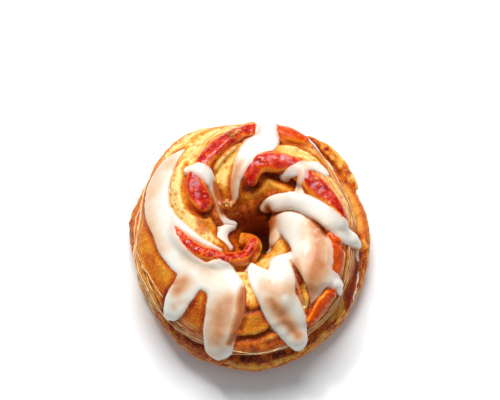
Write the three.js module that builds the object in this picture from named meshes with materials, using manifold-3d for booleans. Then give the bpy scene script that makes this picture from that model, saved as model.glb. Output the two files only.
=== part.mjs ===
// A ring-shaped danish pastry: a wide browned base ring, a twisted upper ring of soft dough round an
// open hole, strips of glossy jam rolled into the dough, and thick white icing running over it.
// Millimetres, +Z up. The pastry stands on z = 0, with the middle of its box over the origin.
import * as THREE from 'three';
import Module from 'manifold-3d';

const wasm = await Module();
wasm.setup();

// ---- Driving dimensions -------------------------------------------------------------------------
const gap = 0.3; // clear space between the dough, the jam and the icing
const holeShift = [4.6, -1.0]; // how far the hole lies from the middle, along X and Y
const holeReach = 52; // radius at which the hole's shift has died away
const holeStretch = 1.045; // the hole is a little longer along Y
const icingThick = 1.5;
const icingRoot = 1.6; // depth to which icing reaches before the dough trims it
const ringSteps = 54;

// The ring's cross-section as radius and height, one pair per station, starting at the bottom of
// the hole: flat foot, base ring, the notch between the tiers, upper ring, hole wall.
const section = [
  [9.0, 1.0], [14, 0], [46, 0], [53, 2.6], [56, 8], [54.5, 13.2], [49.8, 15.8], [51.6, 18.4],
  [52.2, 24.5], [48.3, 32.4], [39.5, 38.4], [30, 39.8], [21, 37.2], [13.6, 31.4], [8.8, 24], [7.6, 13],
];
const stationCount = section.length;
// Stations at which the ring is sampled: coarse under the foot, finer over the top.
const ringStations = [];
for (let station = 0; station < stationCount; station += 1) {
  ringStations.push(station);
  if (station >= 8 && station <= 13) ringStations.push(station + 0.5);
}

const sectionCurve = new THREE.CatmullRomCurve3(
  section.map(([radius, height]) => new THREE.Vector3(radius, 0, height)), true, 'catmullrom', 0.5);

const radians = THREE.MathUtils.degToRad;
const turnBetween = (a, b) => ((a - b + 540) % 360) - 180;

// A smooth hump of height 1 at the centre that ends at the given reach.
function hump(distance, reach) {
  const left = 1 - (distance / reach) ** 2;
  return left > 0 ? left * left : 0;
}

// The upper ring is set back on the right, where the base ring shows widest, and bulges at the
// back left and back right.
function upperShift(angle) {
  const facing = Math.max(0, Math.cos(radians(angle - 8)));
  return 0.6 - 6.0 * facing ** 1.5 + 2.2 * hump(turnBetween(angle, 128), 28)
    - 1.0 * hump(turnBetween(angle, 100), 22) + 3.0 * hump(turnBetween(angle, 64), 24);
}

// The base ring's outline is uneven: drawn in at the front left and right, a little out between.
function lowerShift(angle) {
  return -3.0 * hump(turnBetween(angle, 208), 38) - 1.4 * hump(turnBetween(angle, 187), 13)
    - 1.0 * hump(turnBetween(angle, 325), 42) + 0.8 * hump(turnBetween(angle, 275), 20);
}

// ---- The bare ring ------------------------------------------------------------------------------
function ringPoint(angle, station) {
  const at = sectionCurve.getPoint((((station % stationCount) + stationCount) % stationCount) / stationCount);
  const radius = at.x + upperShift(angle) * hump(station - 8.3, 2.6)
    + lowerShift(angle) * hump(station - 4.2, 2.4);
  const near = THREE.MathUtils.clamp((holeReach - radius) / (holeReach - 8), 0, 1);
  const turn = radians(angle);
  return new THREE.Vector3(
    radius * Math.cos(turn) + holeShift[0] * near,
    radius * Math.sin(turn) * (1 + (holeStretch - 1) * (1 - near)) + holeShift[1] * near,
    at.z);
}

// Directions along the ring (per degree) and across it (per station), and the outward normal.
function ringFrame(angle, station) {
  const step = 0.01;
  const point = ringPoint(angle, station);
  const along = ringPoint(angle + step, station).sub(point).divideScalar(step);
  const across = ringPoint(angle, station + step).sub(point).divideScalar(step);
  const normal = new THREE.Vector3().crossVectors(along, across).normalize();
  return { point, along, across, normal };
}

function nearest(point, line) {
  let best = Infinity;
  let index = 0;
  for (let i = 0; i < line.length; i += 1) {
    const distance = line[i].distanceTo(point);
    if (distance < best) {
      best = distance;
      index = i;
    }
  }
  return { distance: best, along: index / (line.length - 1) };
}

// A closed mesh as a solid, its faces turned outward.
function solidFrom(points, faces) {
  let volume = 0;
  const cross = new THREE.Vector3();
  for (const [a, b, c] of faces) volume += points[a].dot(cross.crossVectors(points[b], points[c]));
  const turned = volume < 0 ? faces.map(([a, b, c]) => [a, c, b]) : faces;
  return new wasm.Manifold(new wasm.Mesh({
    numProp: 3,
    vertProperties: new Float32Array(points.flatMap((point) => [point.x, point.y, point.z])),
    triVerts: new Uint32Array(turned.flat()),
  }));
}

function ringSolid(grow) {
  const points = [];
  const faces = [];
  const rows = ringStations.length;
  for (let turn = 0; turn < ringSteps; turn += 1) {
    const angle = turn * 360 / ringSteps;
    for (const station of ringStations) {
      const { point, normal } = ringFrame(angle, station);
      point.addScaledVector(normal, grow);
      if (grow === 0 && point.z < 0.05) point.z = 0;
      points.push(point);
    }
  }
  const index = (turn, row) => (turn % ringSteps) * rows + (row % rows);
  for (let turn = 0; turn < ringSteps; turn += 1) {
    for (let row = 0; row < rows; row += 1) {
      faces.push([index(turn, row), index(turn + 1, row), index(turn + 1, row + 1)]);
      faces.push([index(turn, row), index(turn + 1, row + 1), index(turn, row + 1)]);
    }
  }
  return solidFrom(points, faces);
}

// ---- Rolls of dough on the ring -----------------------------------------------------------------
// Paths of [angle, station, lift]; wide and high are half sizes of the oval section.
const rolls = {
  rightFold: {
    path: [[64, 13.3, -2.4], [46, 12.5, -2.2], [24, 11.6, -2.2], [6, 10.9, -2.4], [-5, 9.9, -3]],
    wide: 6.4, high: 5.2,
  },
  frontRightFold: {
    path: [[40, 13.9, -4.4], [10, 12.9, -3.8], [-20, 11.8, -3.6], [-39, 10.7, -3.6], [-50, 9.7, -4.2]],
    wide: 9.6, high: 7.2,
  },
  frontFold: {
    path: [[314, 12.8, -4.2], [294, 11.7, -3.6], [288, 10.7, -3.6], [290, 9.5, -4.4]],
    wide: 9.8, high: 6.8,
  },
  leftFold: {
    path: [[132, 9.9, -2.6], [150, 10.4, -2.0], [172, 11.0, -2.0], [200, 11.7, -2.2], [222, 12.7, -2.8]],
    wide: 6.4, high: 5.0,
  },
  backFold: {
    path: [[84, 10.4, -2.6], [104, 11.2, -2.2], [122, 12.0, -2.2], [134, 12.9, -2.6]],
    wide: 5.6, high: 4.6,
  },
  backRoll: {
    path: [[84, 9.1, 0.2], [104, 10.0, 0.6], [128, 10.6, 0.8], [150, 11.05, 0.8], [166, 11.75, 0.9]],
    wide: 4.1, high: 3.3,
  },
  rightRoll: {
    path: [[101, 12.05, 1.4], [84, 11.25, 1], [57, 10.8, 0.8], [30, 10.75, 0.8], [10, 10.15, 0.4], [-2, 9.6, 0]],
    wide: 4.0, high: 3.3,
  },
  leftRoll: {
    path: [[180, 10.35, 0], [204, 11.03, 0.4], [226, 11.75, 0.6], [246, 12.47, 1.3], [256, 12.85, 4.2],
      [256, 13.15, 6.6], [230, 13.38, 6.9], [202, 13.45, 5.2], [182, 13.3, 1.6]],
    wide: 3.4, high: 3.0,
  },
  frontRightRoll: { path: [[-10, 10.3, 0.4], [-22, 9.8, 0], [-32, 9.3, -0.3]], wide: 4.4, high: 2.0 },
  rimRoll: { path: [[301, 8.7, 0], [311, 9.1, 0.3], [320, 9.2, 0.3], [328, 9.2, 0]], wide: 3.4, high: 2.4 },
  frontLedge: { path: [[252, 7.9, -0.6], [266, 8.3, -0.2], [280, 8.4, -0.2], [294, 8.4, -0.6]], wide: 2.8, high: 1.9 },
  backLedge: { path: [[80, 9.3, 0.2], [68, 9.4, 0.2], [56, 9.0, 0]], wide: 3.9, high: 2.2 },
  holeNub: { path: [[152, 12.15, 0.4], [142, 12.45, 1.2], [134, 12.85, 1.0]], wide: 2.0, high: 1.8 },
  baseBackRight: { path: [[62, 5.0, 0.2], [52, 5.0, 1.4], [40, 5.0, 1.0], [28, 5.0, -0.8]], wide: 3.1, high: 2.9 },
  baseRight: { path: [[24, 5.0, -1.4], [8, 4.9, -1.2], [-10, 4.8, -1.4]], wide: 3.2, high: 2.0 },
  baseLeft: { path: [[158, 4.3, -2.4], [170, 4.1, -1.8], [184, 4.2, -2.4]], wide: 4.0, high: 2.4 },
};
// ---- Jam strips ---------------------------------------------------------------------------------
// Each lies in a groove along part of a roll; the sizes are half sizes of its oval section.
const jams = {
  jam_back: { roll: 'backRoll', from: 0.02, to: 0.95, wide: 3.8, high: 2.0, shift: 0.3, rise: 2.0 },
  jam_right: { roll: 'rightRoll', from: 0.03, to: 0.98, wide: 3.7, high: 2.0, shift: 0.6, rise: 2.0 },
  jam_left: { roll: 'leftRoll', from: 0.04, to: 0.66, wide: 2.6, high: 1.8, shift: 0.6, rise: 1.8 },
  jam_front_right: { roll: 'frontRightRoll', from: 0.06, to: 0.96, wide: 3.9, high: 1.5, shift: 0, rise: 1.0 },
  jam_rim: { roll: 'rimRoll', from: 0.06, to: 0.94, wide: 2.9, high: 1.6, shift: 0, rise: 1.4 },
  jam_back_rim: { roll: 'backLedge', from: 0.04, to: 0.94, wide: 3.4, high: 1.5, shift: 0, rise: 1.3 },
};

for (const roll of Object.values(rolls)) {
  roll.curve = new THREE.CatmullRomCurve3(roll.path.map(([angle, station, lift]) => {
    const { point, normal } = ringFrame(angle, station);
    return point.addScaledVector(normal, lift);
  }), false, 'centripetal');
  roll.length = roll.curve.getLength();
  roll.line = roll.curve.getPoints(40);
  roll.normals = roll.path.map(([angle, station]) => ringFrame(angle, station).normal);
  roll.coverWide = roll.wide;
  roll.coverHigh = roll.high;
}
// What lies over a roll that holds jam has to clear the jam too.
for (const jam of Object.values(jams)) {
  const roll = rolls[jam.roll];
  roll.coverWide = Math.max(roll.wide, jam.wide + jam.shift + 0.4);
  roll.coverHigh = Math.max(roll.high, jam.rise + jam.high);
}

function normalOnRoll(roll, along) {
  const place = along * (roll.normals.length - 1);
  const first = Math.min(Math.floor(place), roll.normals.length - 2);
  return roll.normals[first].clone().lerp(roll.normals[first + 1], place - first).normalize();
}

// An oval tube along a stretch of a roll, with rounded ends. shift moves it across the roll and
// rise lifts it, so that the same tube serves for the dough and for the jam lying in it.
function rollSolid(roll, shape, grow) {
  const { wide, high, from = 0, to = 1, shift = 0, rise = 0, sides = 10 } = shape;
  const steps = Math.max(6, Math.round(roll.length * (to - from) / Math.max(3.8, wide * 0.6)));
  const points = [];
  const faces = [];
  const span = roll.length * (to - from);
  for (let step = 0; step <= steps; step += 1) {
    const part = (1 - Math.cos(Math.PI * step / steps)) / 2;
    const along = from + (to - from) * part;
    const centre = roll.curve.getPoint(along);
    const tangent = roll.curve.getTangent(along);
    const up = normalOnRoll(roll, along);
    const side = new THREE.Vector3().crossVectors(up, tangent).normalize();
    up.crossVectors(tangent, side).normalize();
    centre.addScaledVector(side, shift).addScaledVector(up, rise);
    const end = Math.min(part, 1 - part) * span / wide;
    const cap = end < 1 ? Math.sqrt(1 - (1 - end) ** 2) : 1;
    if (step === 0 || step === steps) {
      points.push(centre.addScaledVector(tangent, step === 0 ? -grow : grow));
      continue;
    }
    for (let corner = 0; corner < sides; corner += 1) {
      const turn = 2 * Math.PI * corner / sides;
      points.push(centre.clone()
        .addScaledVector(side, (wide * cap + grow) * Math.cos(turn))
        .addScaledVector(up, (high * cap + grow) * Math.sin(turn)));
    }
  }
  const index = (step, corner) => 1 + (step - 1) * sides + (corner % sides);
  const last = points.length - 1;
  for (let corner = 0; corner < sides; corner += 1) {
    faces.push([0, index(1, corner + 1), index(1, corner)]);
    faces.push([last, index(steps - 1, corner), index(steps - 1, corner + 1)]);
    for (let step = 1; step < steps - 1; step += 1) {
      faces.push([index(step, corner), index(step, corner + 1), index(step + 1, corner + 1)]);
      faces.push([index(step, corner), index(step + 1, corner + 1), index(step + 1, corner)]);
    }
  }
  return solidFrom(points, faces);
}

// Height of the rolls, with the jam lying on them, above a point of the bare ring.
function foodLift(point, normal) {
  let lift = 0;
  for (const roll of Object.values(rolls)) {
    const { distance, along } = nearest(point, roll.line);
    const raised = roll.line[Math.round(along * (roll.line.length - 1))].clone().sub(point).dot(normal);
    const beside = Math.sqrt(Math.max(0, distance ** 2 - raised ** 2)) / roll.coverWide;
    if (raised > 2.5 || beside > 1) continue;
    lift = Math.max(lift, raised + roll.coverHigh * Math.sqrt(1 - beside ** 2));
  }
  return lift;
}

// ---- Icing --------------------------------------------------------------------------------------
// Strokes of [angle, station, half width]; the strokes of one sheet run into each other.
const icings = {
  icing_left: [
    [[131, 9.45, 0.9], [138, 9.4, 3.2], [145, 9.35, 5.2], [155, 9.35, 6.3], [168, 9.6, 6.5], [183, 10.0, 5.9],
      [204, 10.4, 6.0], [221, 10.7, 5.7], [240, 10.95, 6.5]],
    [[171, 10.25, 1.4], [184, 10.85, 1.9], [200, 11.5, 1.7], [216, 12.1, 0.9]],
    [[221, 10.6, 5.9], [224, 9.95, 5.4], [226, 9.3, 4.2], [226, 8.9, 3.0], [225, 8.4, 1.6]],
    [[236, 11.2, 7.4], [248, 10.75, 8.4], [253, 10.0, 9.0], [254, 9.2, 7.9], [255, 8.4, 6.4], [255, 7.7, 5.0],
      [255, 6.9, 2.6]],
  ],
  icing_back: [
    [[81, 8.6, 4.4], [82, 9.2, 5.2], [81, 9.65, 5.6], [81, 10.1, 6.0], [88, 10.45, 5.6], [96, 10.95, 4.6],
      [106, 11.4, 3.2], [118, 11.95, 2.5], [127, 12.4, 1.9], [136, 12.5, 1.3]],
  ],
  icing_hole: [
    [[140, 10.3, 2.2], [136, 10.6, 3.6], [135, 11.1, 3.5], [138, 11.5, 2.4], [146, 12.0, 1.8], [158, 12.45, 1.7],
      [165, 12.85, 1.9], [160, 13.4, 1.4]],
  ],
  icing_right: [
    [[60, 11.45, 1.4], [54, 11.1, 2.6], [47, 10.5, 3.0], [41, 9.7, 3.0], [36, 9.5, 2.2]],
    [[50, 10.6, 1.6], [44, 10.95, 1.9], [40, 11.35, 2.0], [34, 11.65, 2.4]],
    [[73, 13.3, 2.3], [57, 12.75, 4.1], [43, 12.35, 4.2], [31, 11.95, 4.4], [20, 11.55, 4.9], [8, 11.0, 4.8],
      [0, 10.4, 4.6], [-4, 9.6, 4.6], [-5, 8.9, 3.6], [-6, 8.2, 2.0]],
  ],
  icing_front: [
    [[48, 13.95, 1.8], [23, 13.1, 4.7], [4, 12.5, 7.0], [-12, 11.8, 8.6], [-24, 11.15, 9.2], [-35, 10.8, 9.0],
      [-43, 10.4, 8.0], [-49, 10.05, 5.4], [-54, 9.7, 2.2]],
    [[-39, 10.4, 4.5], [-36, 9.8, 3.9], [-34, 9.3, 3.8], [-33, 8.6, 2.8], [-34, 8.2, 1.4]],
    [[264, 12.4, 2.8], [271, 11.85, 4.3], [278, 11.25, 5.6], [285, 10.65, 7.6], [289, 10.1, 8.6], [291, 9.6, 8.2],
      [293, 9.0, 6.8], [294, 8.3, 4.8], [294, 7.6, 2.2]],
    [[305, 12.0, 6.0], [296, 11.3, 6.0], [292, 10.7, 6.5]],
  ],
  icing_curl: [
    [[170, 13.5, 1.2], [179, 13.05, 2.0], [191, 12.85, 2.9], [203, 13.0, 2.5], [210, 13.2, 1.7]],
  ],
};

// Slides from a point of the ring over its surface, keeping the direction, by the given distance.
function slide(angle, station, direction, distance) {
  const steps = 4;
  const way = direction.clone();
  let place = [angle, station];
  for (let step = 0; step < steps; step += 1) {
    const { along, across, normal } = ringFrame(place[0], place[1]);
    way.addScaledVector(normal, -way.dot(normal)).normalize();
    const aa = along.dot(along);
    const ab = along.dot(across);
    const bb = across.dot(across);
    const wa = way.dot(along);
    const wb = way.dot(across);
    const det = aa * bb - ab * ab;
    const pace = distance / steps / det;
    place = [place[0] + (wa * bb - wb * ab) * pace, place[1] + (wb * aa - wa * ab) * pace];
  }
  return place;
}

function strokeSolid(stroke, grow = 0) {
  const broad = Math.max(...stroke.map((stop) => stop[2])) > 6;
  const across = broad ? 6 : 4;
  const flat = new THREE.CatmullRomCurve3(
    stroke.map(([angle, station, half]) => new THREE.Vector3(angle, station * 20, half)), false, 'centripetal');
  const rough = flat.getPoints(40).map((at) => ringPoint(at.x, at.y / 20));
  let length = 0;
  for (let i = 1; i < rough.length; i += 1) length += rough[i].distanceTo(rough[i - 1]);
  const steps = Math.max(6, Math.round(length / (broad ? 5.8 : 5)));
  const top = [];
  const bottom = [];
  for (let step = 0; step <= steps; step += 1) {
    const part = (1 - Math.cos(Math.PI * step / steps)) / 2 * 0.5 + step / steps * 0.5;
    const at = flat.getPoint(part);
    const near = flat.getPoint(Math.min(1, part + 0.01));
    const back = flat.getPoint(Math.max(0, part - 0.01));
    const tangent = ringPoint(near.x, near.y / 20).sub(ringPoint(back.x, back.y / 20)).normalize();
    const frame = ringFrame(at.x, at.y / 20);
    const side = new THREE.Vector3().crossVectors(frame.normal, tangent).normalize();
    const end = Math.min(part, 1 - part) * length / 2.2;
    const cap = end < 1 ? Math.sqrt(1 - (1 - end) ** 2) : 1;
    const half = at.z * (0.55 + 0.45 * cap) + grow;
    for (let k = 0; k <= across; k += 1) {
      const lean = Math.sin(Math.PI * (k / across - 0.5));
      const place = slide(at.x, at.y / 20, side, lean * half);
      const { point, normal } = ringFrame(place[0], place[1]);
      const thick = icingThick * (1 - lean ** 4) ** 0.5 * (0.3 + 0.7 * cap) + grow;
      const lift = foodLift(point, normal);
      bottom.push(point.clone().addScaledVector(normal, -icingRoot));
      top.push(point.addScaledVector(normal, gap + lift + thick));
    }
  }
  const points = [...top, ...bottom];
  const faces = [];
  const row = across + 1;
  const under = top.length;
  const quad = (a, b, c, d) => faces.push([a, b, c], [a, c, d]);
  for (let step = 0; step < steps; step += 1) {
    for (let k = 0; k < across; k += 1) {
      const a = step * row + k;
      quad(a, a + 1, a + row + 1, a + row);
      quad(under + a, under + a + row, under + a + row + 1, under + a + 1);
    }
    const left = step * row;
    quad(left, left + row, under + left + row, under + left);
    const right = left + across;
    quad(right, under + right, under + right + row, right + row);
  }
  for (let k = 0; k < across; k += 1) {
    quad(k, under + k, under + k + 1, k + 1);
    const a = steps * row + k;
    quad(a, a + 1, under + a + 1, under + a);
  }
  return solidFrom(points, faces);
}

// ---- Joining and cutting ------------------------------------------------------------------------
const union = (solids) => solids.reduce((whole, solid) => whole.add(solid));

// The largest body of a solid, so that no loose scrap stays.
const mainBody = (solid) => solid.decompose().reduce((best, body) => (body.volume() > best.volume() ? body : best));

const doughUnion = (grow) => union([
  ringSolid(grow), ...Object.values(rolls).map((roll) => rollSolid(roll, roll, grow))]);
const jamSolids = (grow) => Object.fromEntries(
  Object.entries(jams).map(([name, jam]) => [name, rollSolid(rolls[jam.roll], { sides: 8, ...jam }, grow)]));

const jamBodies = jamSolids(0);
const jamSpace = union(Object.values(jamSolids(gap)));
const dough = mainBody(doughUnion(0).subtract(jamSpace));
const clearOfFood = doughUnion(gap).add(jamSpace);

const bodies = { dough, ...jamBodies };
let taken = clearOfFood;
for (const [name, strokes] of Object.entries(icings)) {
  bodies[name] = mainBody(union(strokes.map((stroke) => strokeSolid(stroke))).subtract(taken));
  taken = taken.add(union(strokes.map((stroke) => strokeSolid(stroke, gap))));
}

// ---- Meshes -------------------------------------------------------------------------------------
const looks = {
  dough: { color: 0xd68a3c, roughness: 0.6, metalness: 0 },
  jam: { color: 0xa81a0e, roughness: 0.15, metalness: 0 },
  icing: { color: 0xf6ece0, roughness: 0.3, metalness: 0 },
};

const pastry = new THREE.Group();
for (const [name, body] of Object.entries(bodies)) {
  const { vertProperties, triVerts } = body.getMesh();
  const geometry = new THREE.BufferGeometry();
  geometry.setAttribute('position', new THREE.BufferAttribute(vertProperties, 3));
  geometry.setIndex(new THREE.BufferAttribute(triVerts, 1));
  geometry.computeVertexNormals();
  const mesh = new THREE.Mesh(geometry, new THREE.MeshStandardMaterial(looks[name.split('_')[0]]));
  mesh.name = name;
  pastry.add(mesh);
}

// The middle of the pastry's box goes over the origin.
const box = new THREE.Box3().setFromObject(pastry);
for (const mesh of pastry.children) {
  mesh.geometry.translate(-(box.min.x + box.max.x) / 2, -(box.min.y + box.max.y) / 2, 0);
}

export default pastry;
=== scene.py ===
import math
import random
import bpy
import bmesh
import numpy as np
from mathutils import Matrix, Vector, noise
from mathutils.bvhtree import BVHTree
from mathutils.kdtree import KDTree


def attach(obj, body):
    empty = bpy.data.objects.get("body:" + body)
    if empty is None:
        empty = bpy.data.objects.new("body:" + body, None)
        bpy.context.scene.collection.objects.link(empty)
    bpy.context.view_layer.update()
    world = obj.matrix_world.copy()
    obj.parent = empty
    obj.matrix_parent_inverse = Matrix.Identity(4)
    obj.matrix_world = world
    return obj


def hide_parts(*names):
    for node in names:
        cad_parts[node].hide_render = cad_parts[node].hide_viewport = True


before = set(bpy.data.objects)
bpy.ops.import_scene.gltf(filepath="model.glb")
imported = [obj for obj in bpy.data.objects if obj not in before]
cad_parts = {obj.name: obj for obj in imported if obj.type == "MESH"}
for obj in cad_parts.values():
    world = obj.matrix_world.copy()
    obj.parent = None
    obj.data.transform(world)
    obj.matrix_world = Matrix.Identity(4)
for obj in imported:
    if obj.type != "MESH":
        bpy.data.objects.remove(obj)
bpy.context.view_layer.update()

# A ring danish: browned base ring, twisted upper ring round a hole, jam in the rolls, thick icing.
# Shapes are worked out in millimetres, as in the part's source, and go into the meshes in metres.
mm = 0.001


# the ring that everything lies on
ring = {
    "section": [  # radius and height at each station, from the bottom of the hole outward and over
        (9.0, 1.0), (14, 0), (46, 0), (53, 2.6), (56, 8), (54.5, 13.2), (49.8, 15.8), (51.6, 18.4),
        (52.2, 24.5), (48.3, 32.4), (39.5, 38.4), (30, 39.8), (21, 37.2), (13.6, 31.4), (8.8, 24), (7.6, 13)],
    "middle": (-0.131, 0.406),  # moves the pastry's box over the origin
    "holeShift": (4.6, -1.0),
    "holeReach": 52,
    "holeStretch": 1.045,
    "turns": 120,
    "stepsPerStation": 4,
}
sectionPoints = np.array(ring["section"], float)
stationCount = len(sectionPoints)


def turnBetween(a, b):
    return (a - b + 180) % 360 - 180


def hump(distance, reach):
    return np.clip(1 - (np.asarray(distance, float) / reach) ** 2, 0, 1) ** 2


def smoothStep(low, high, value):
    t = np.clip((np.asarray(value, float) - low) / (high - low), 0, 1)
    return t * t * (3 - 2 * t)


swells = {  # how far the ring leans out or in about a station; parts are (millimetres, angle, spread)
    "upper": dict(station=8.3, reach=2.6, parts=[(2.2, 128, 28), (-1.0, 100, 22), (3.0, 64, 24)]),
    "lower": dict(station=4.2, reach=2.4,
                  parts=[(-3.0, 208, 38), (-1.4, 187, 13), (-1.0, 325, 42), (0.8, 275, 20)]),
    "leftTuck": dict(station=8.0, reach=1.5, parts=[(-2.4, 173, 20)]),
}
upperLean = {"all": 0.6, "facing": 8, "in": 6.0, "power": 1.5}  # the upper ring leans in on its right side


def swellAt(name, angle, station):
    swell = swells[name]
    out = 0.0
    if name == "upper":
        facing = np.maximum(0, np.cos(np.radians(angle - upperLean["facing"])))
        out = upperLean["all"] - upperLean["in"] * facing ** upperLean["power"]
    for size, middle, spread in swell["parts"]:
        out = out + size * hump(turnBetween(angle, middle), spread)
    return out * hump(station - swell["station"], swell["reach"])


def onSection(station):
    station = np.asarray(station, float) % stationCount
    first = np.floor(station).astype(int)
    part = (station - first)[..., None]
    before, start, end, after = [sectionPoints[(first + k) % stationCount] for k in (-1, 0, 1, 2)]
    return start + 0.5 * part * ((end - before) + part * ((2 * before - 5 * start + 4 * end - after)
                                                          + part * (3 * (start - end) + after - before)))


def ringPoint(angle, station):
    angle = np.asarray(angle, float)
    station = np.asarray(station, float)
    at = onSection(station)
    radius = at[..., 0]
    for name in swells:
        radius = radius + swellAt(name, angle, station)
    near = np.clip((ring["holeReach"] - radius) / (ring["holeReach"] - 8), 0, 1)
    turn = np.radians(angle)
    x = radius * np.cos(turn) + ring["holeShift"][0] * near + ring["middle"][0]
    y = (radius * np.sin(turn) * (1 + (ring["holeStretch"] - 1) * (1 - near))
         + ring["holeShift"][1] * near + ring["middle"][1])
    return np.stack([x, y, np.maximum(at[..., 1], 0)], -1)


def ringNormal(angle, station):
    step = 0.01
    point = ringPoint(angle, station)
    along = ringPoint(np.asarray(angle, float) + step, station) - point
    across = ringPoint(angle, np.asarray(station, float) + step) - point
    normal = np.cross(along, across)
    return normal / np.linalg.norm(normal, axis=-1, keepdims=True)


def catmull(stops, count):
    # smooth line through the stops, with the same number of samples between any two of them
    stops = np.asarray(stops, float)
    ends = [2 * stops[0] - stops[1], *stops, 2 * stops[-1] - stops[-2]]
    samples = []
    for at in np.linspace(0, len(stops) - 1, count):
        k = min(int(at), len(stops) - 2)
        p = ends[k:k + 4]
        knots = [0.0]
        for a, b in zip(p, p[1:]):
            knots.append(knots[-1] + max(1e-4, np.linalg.norm(b - a)) ** 0.5)
        t = knots[1] + (at - k) * (knots[2] - knots[1])
        level = p
        for span in (1, 2, 3):
            first = 0 if span < 3 else 1
            last = span if span < 3 else 2
            level = [((knots[i + last] - t) * level[i] + (t - knots[i + first]) * level[i + 1])
                     / (knots[i + last] - knots[i + first]) for i in range(4 - span)]
        samples.append(level[0])
    return np.array(samples)


# small mesh helpers
def addObject(name, bm, smooth=True):
    mesh = bpy.data.meshes.new(name)
    bm.to_mesh(mesh)
    bm.free()
    piece = bpy.data.objects.new(name, mesh)
    bpy.context.scene.collection.objects.link(piece)
    if smooth:
        mesh.shade_smooth()
    return piece


def finished(piece):
    # the piece's mesh with its modifiers applied
    shape = piece.evaluated_get(bpy.context.evaluated_depsgraph_get())
    mesh = bpy.data.meshes.new_from_object(shape)
    piece.modifiers.clear()
    piece.data = mesh
    mesh.shade_smooth()
    return piece


def corners(mesh):
    flat = np.empty(len(mesh.vertices) * 3)
    mesh.vertices.foreach_get("co", flat)
    return flat.reshape(-1, 3)


def normalsOf(mesh):
    flat = np.empty(len(mesh.vertices) * 3)
    mesh.vertex_normals.foreach_get("vector", flat)
    return flat.reshape(-1, 3)


def setCorners(mesh, points):
    mesh.vertices.foreach_set("co", points.ravel())
    mesh.update()


def setMask(mesh, name, values):
    mask = mesh.attributes.new(name, "FLOAT", "POINT")
    mask.data.foreach_set("value", np.asarray(values, np.float32))


def noiseAt(points, size, seed=0.0, octaves=2):
    # soft noise from -1 to 1 with features about the given size in millimetres
    scale = 1 / (size * mm)
    away = Vector((seed * 17.3, seed * 5.1, seed * 9.7))
    return np.array([noise.fractal(Vector(p) * scale + away, 1.0, 2.0, octaves, noise_basis="PERLIN_ORIGINAL")
                     for p in points])


def neighbourMean(mesh, values, times):
    edges = np.empty(len(mesh.edges) * 2, np.int32)
    mesh.edges.foreach_get("vertices", edges)
    a, b = edges.reshape(-1, 2).T
    count = np.bincount(a, minlength=len(values)) + np.bincount(b, minlength=len(values))
    count = np.maximum(count, 1)
    values = np.asarray(values, float)
    for _ in range(times):
        if values.ndim == 1:
            total = np.bincount(a, values[b], len(values)) + np.bincount(b, values[a], len(values))
            values = 0.5 * values + 0.5 * total / count
        else:
            values = np.stack([0.5 * column + 0.5 * (np.bincount(a, column[b], len(column))
                                                     + np.bincount(b, column[a], len(column))) / count
                               for column in values.T], 1)
    return values


def treeOf(piece):
    mesh = piece.data
    return BVHTree.FromPolygons([v.co for v in mesh.vertices], [p.vertices for p in mesh.polygons])


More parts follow.
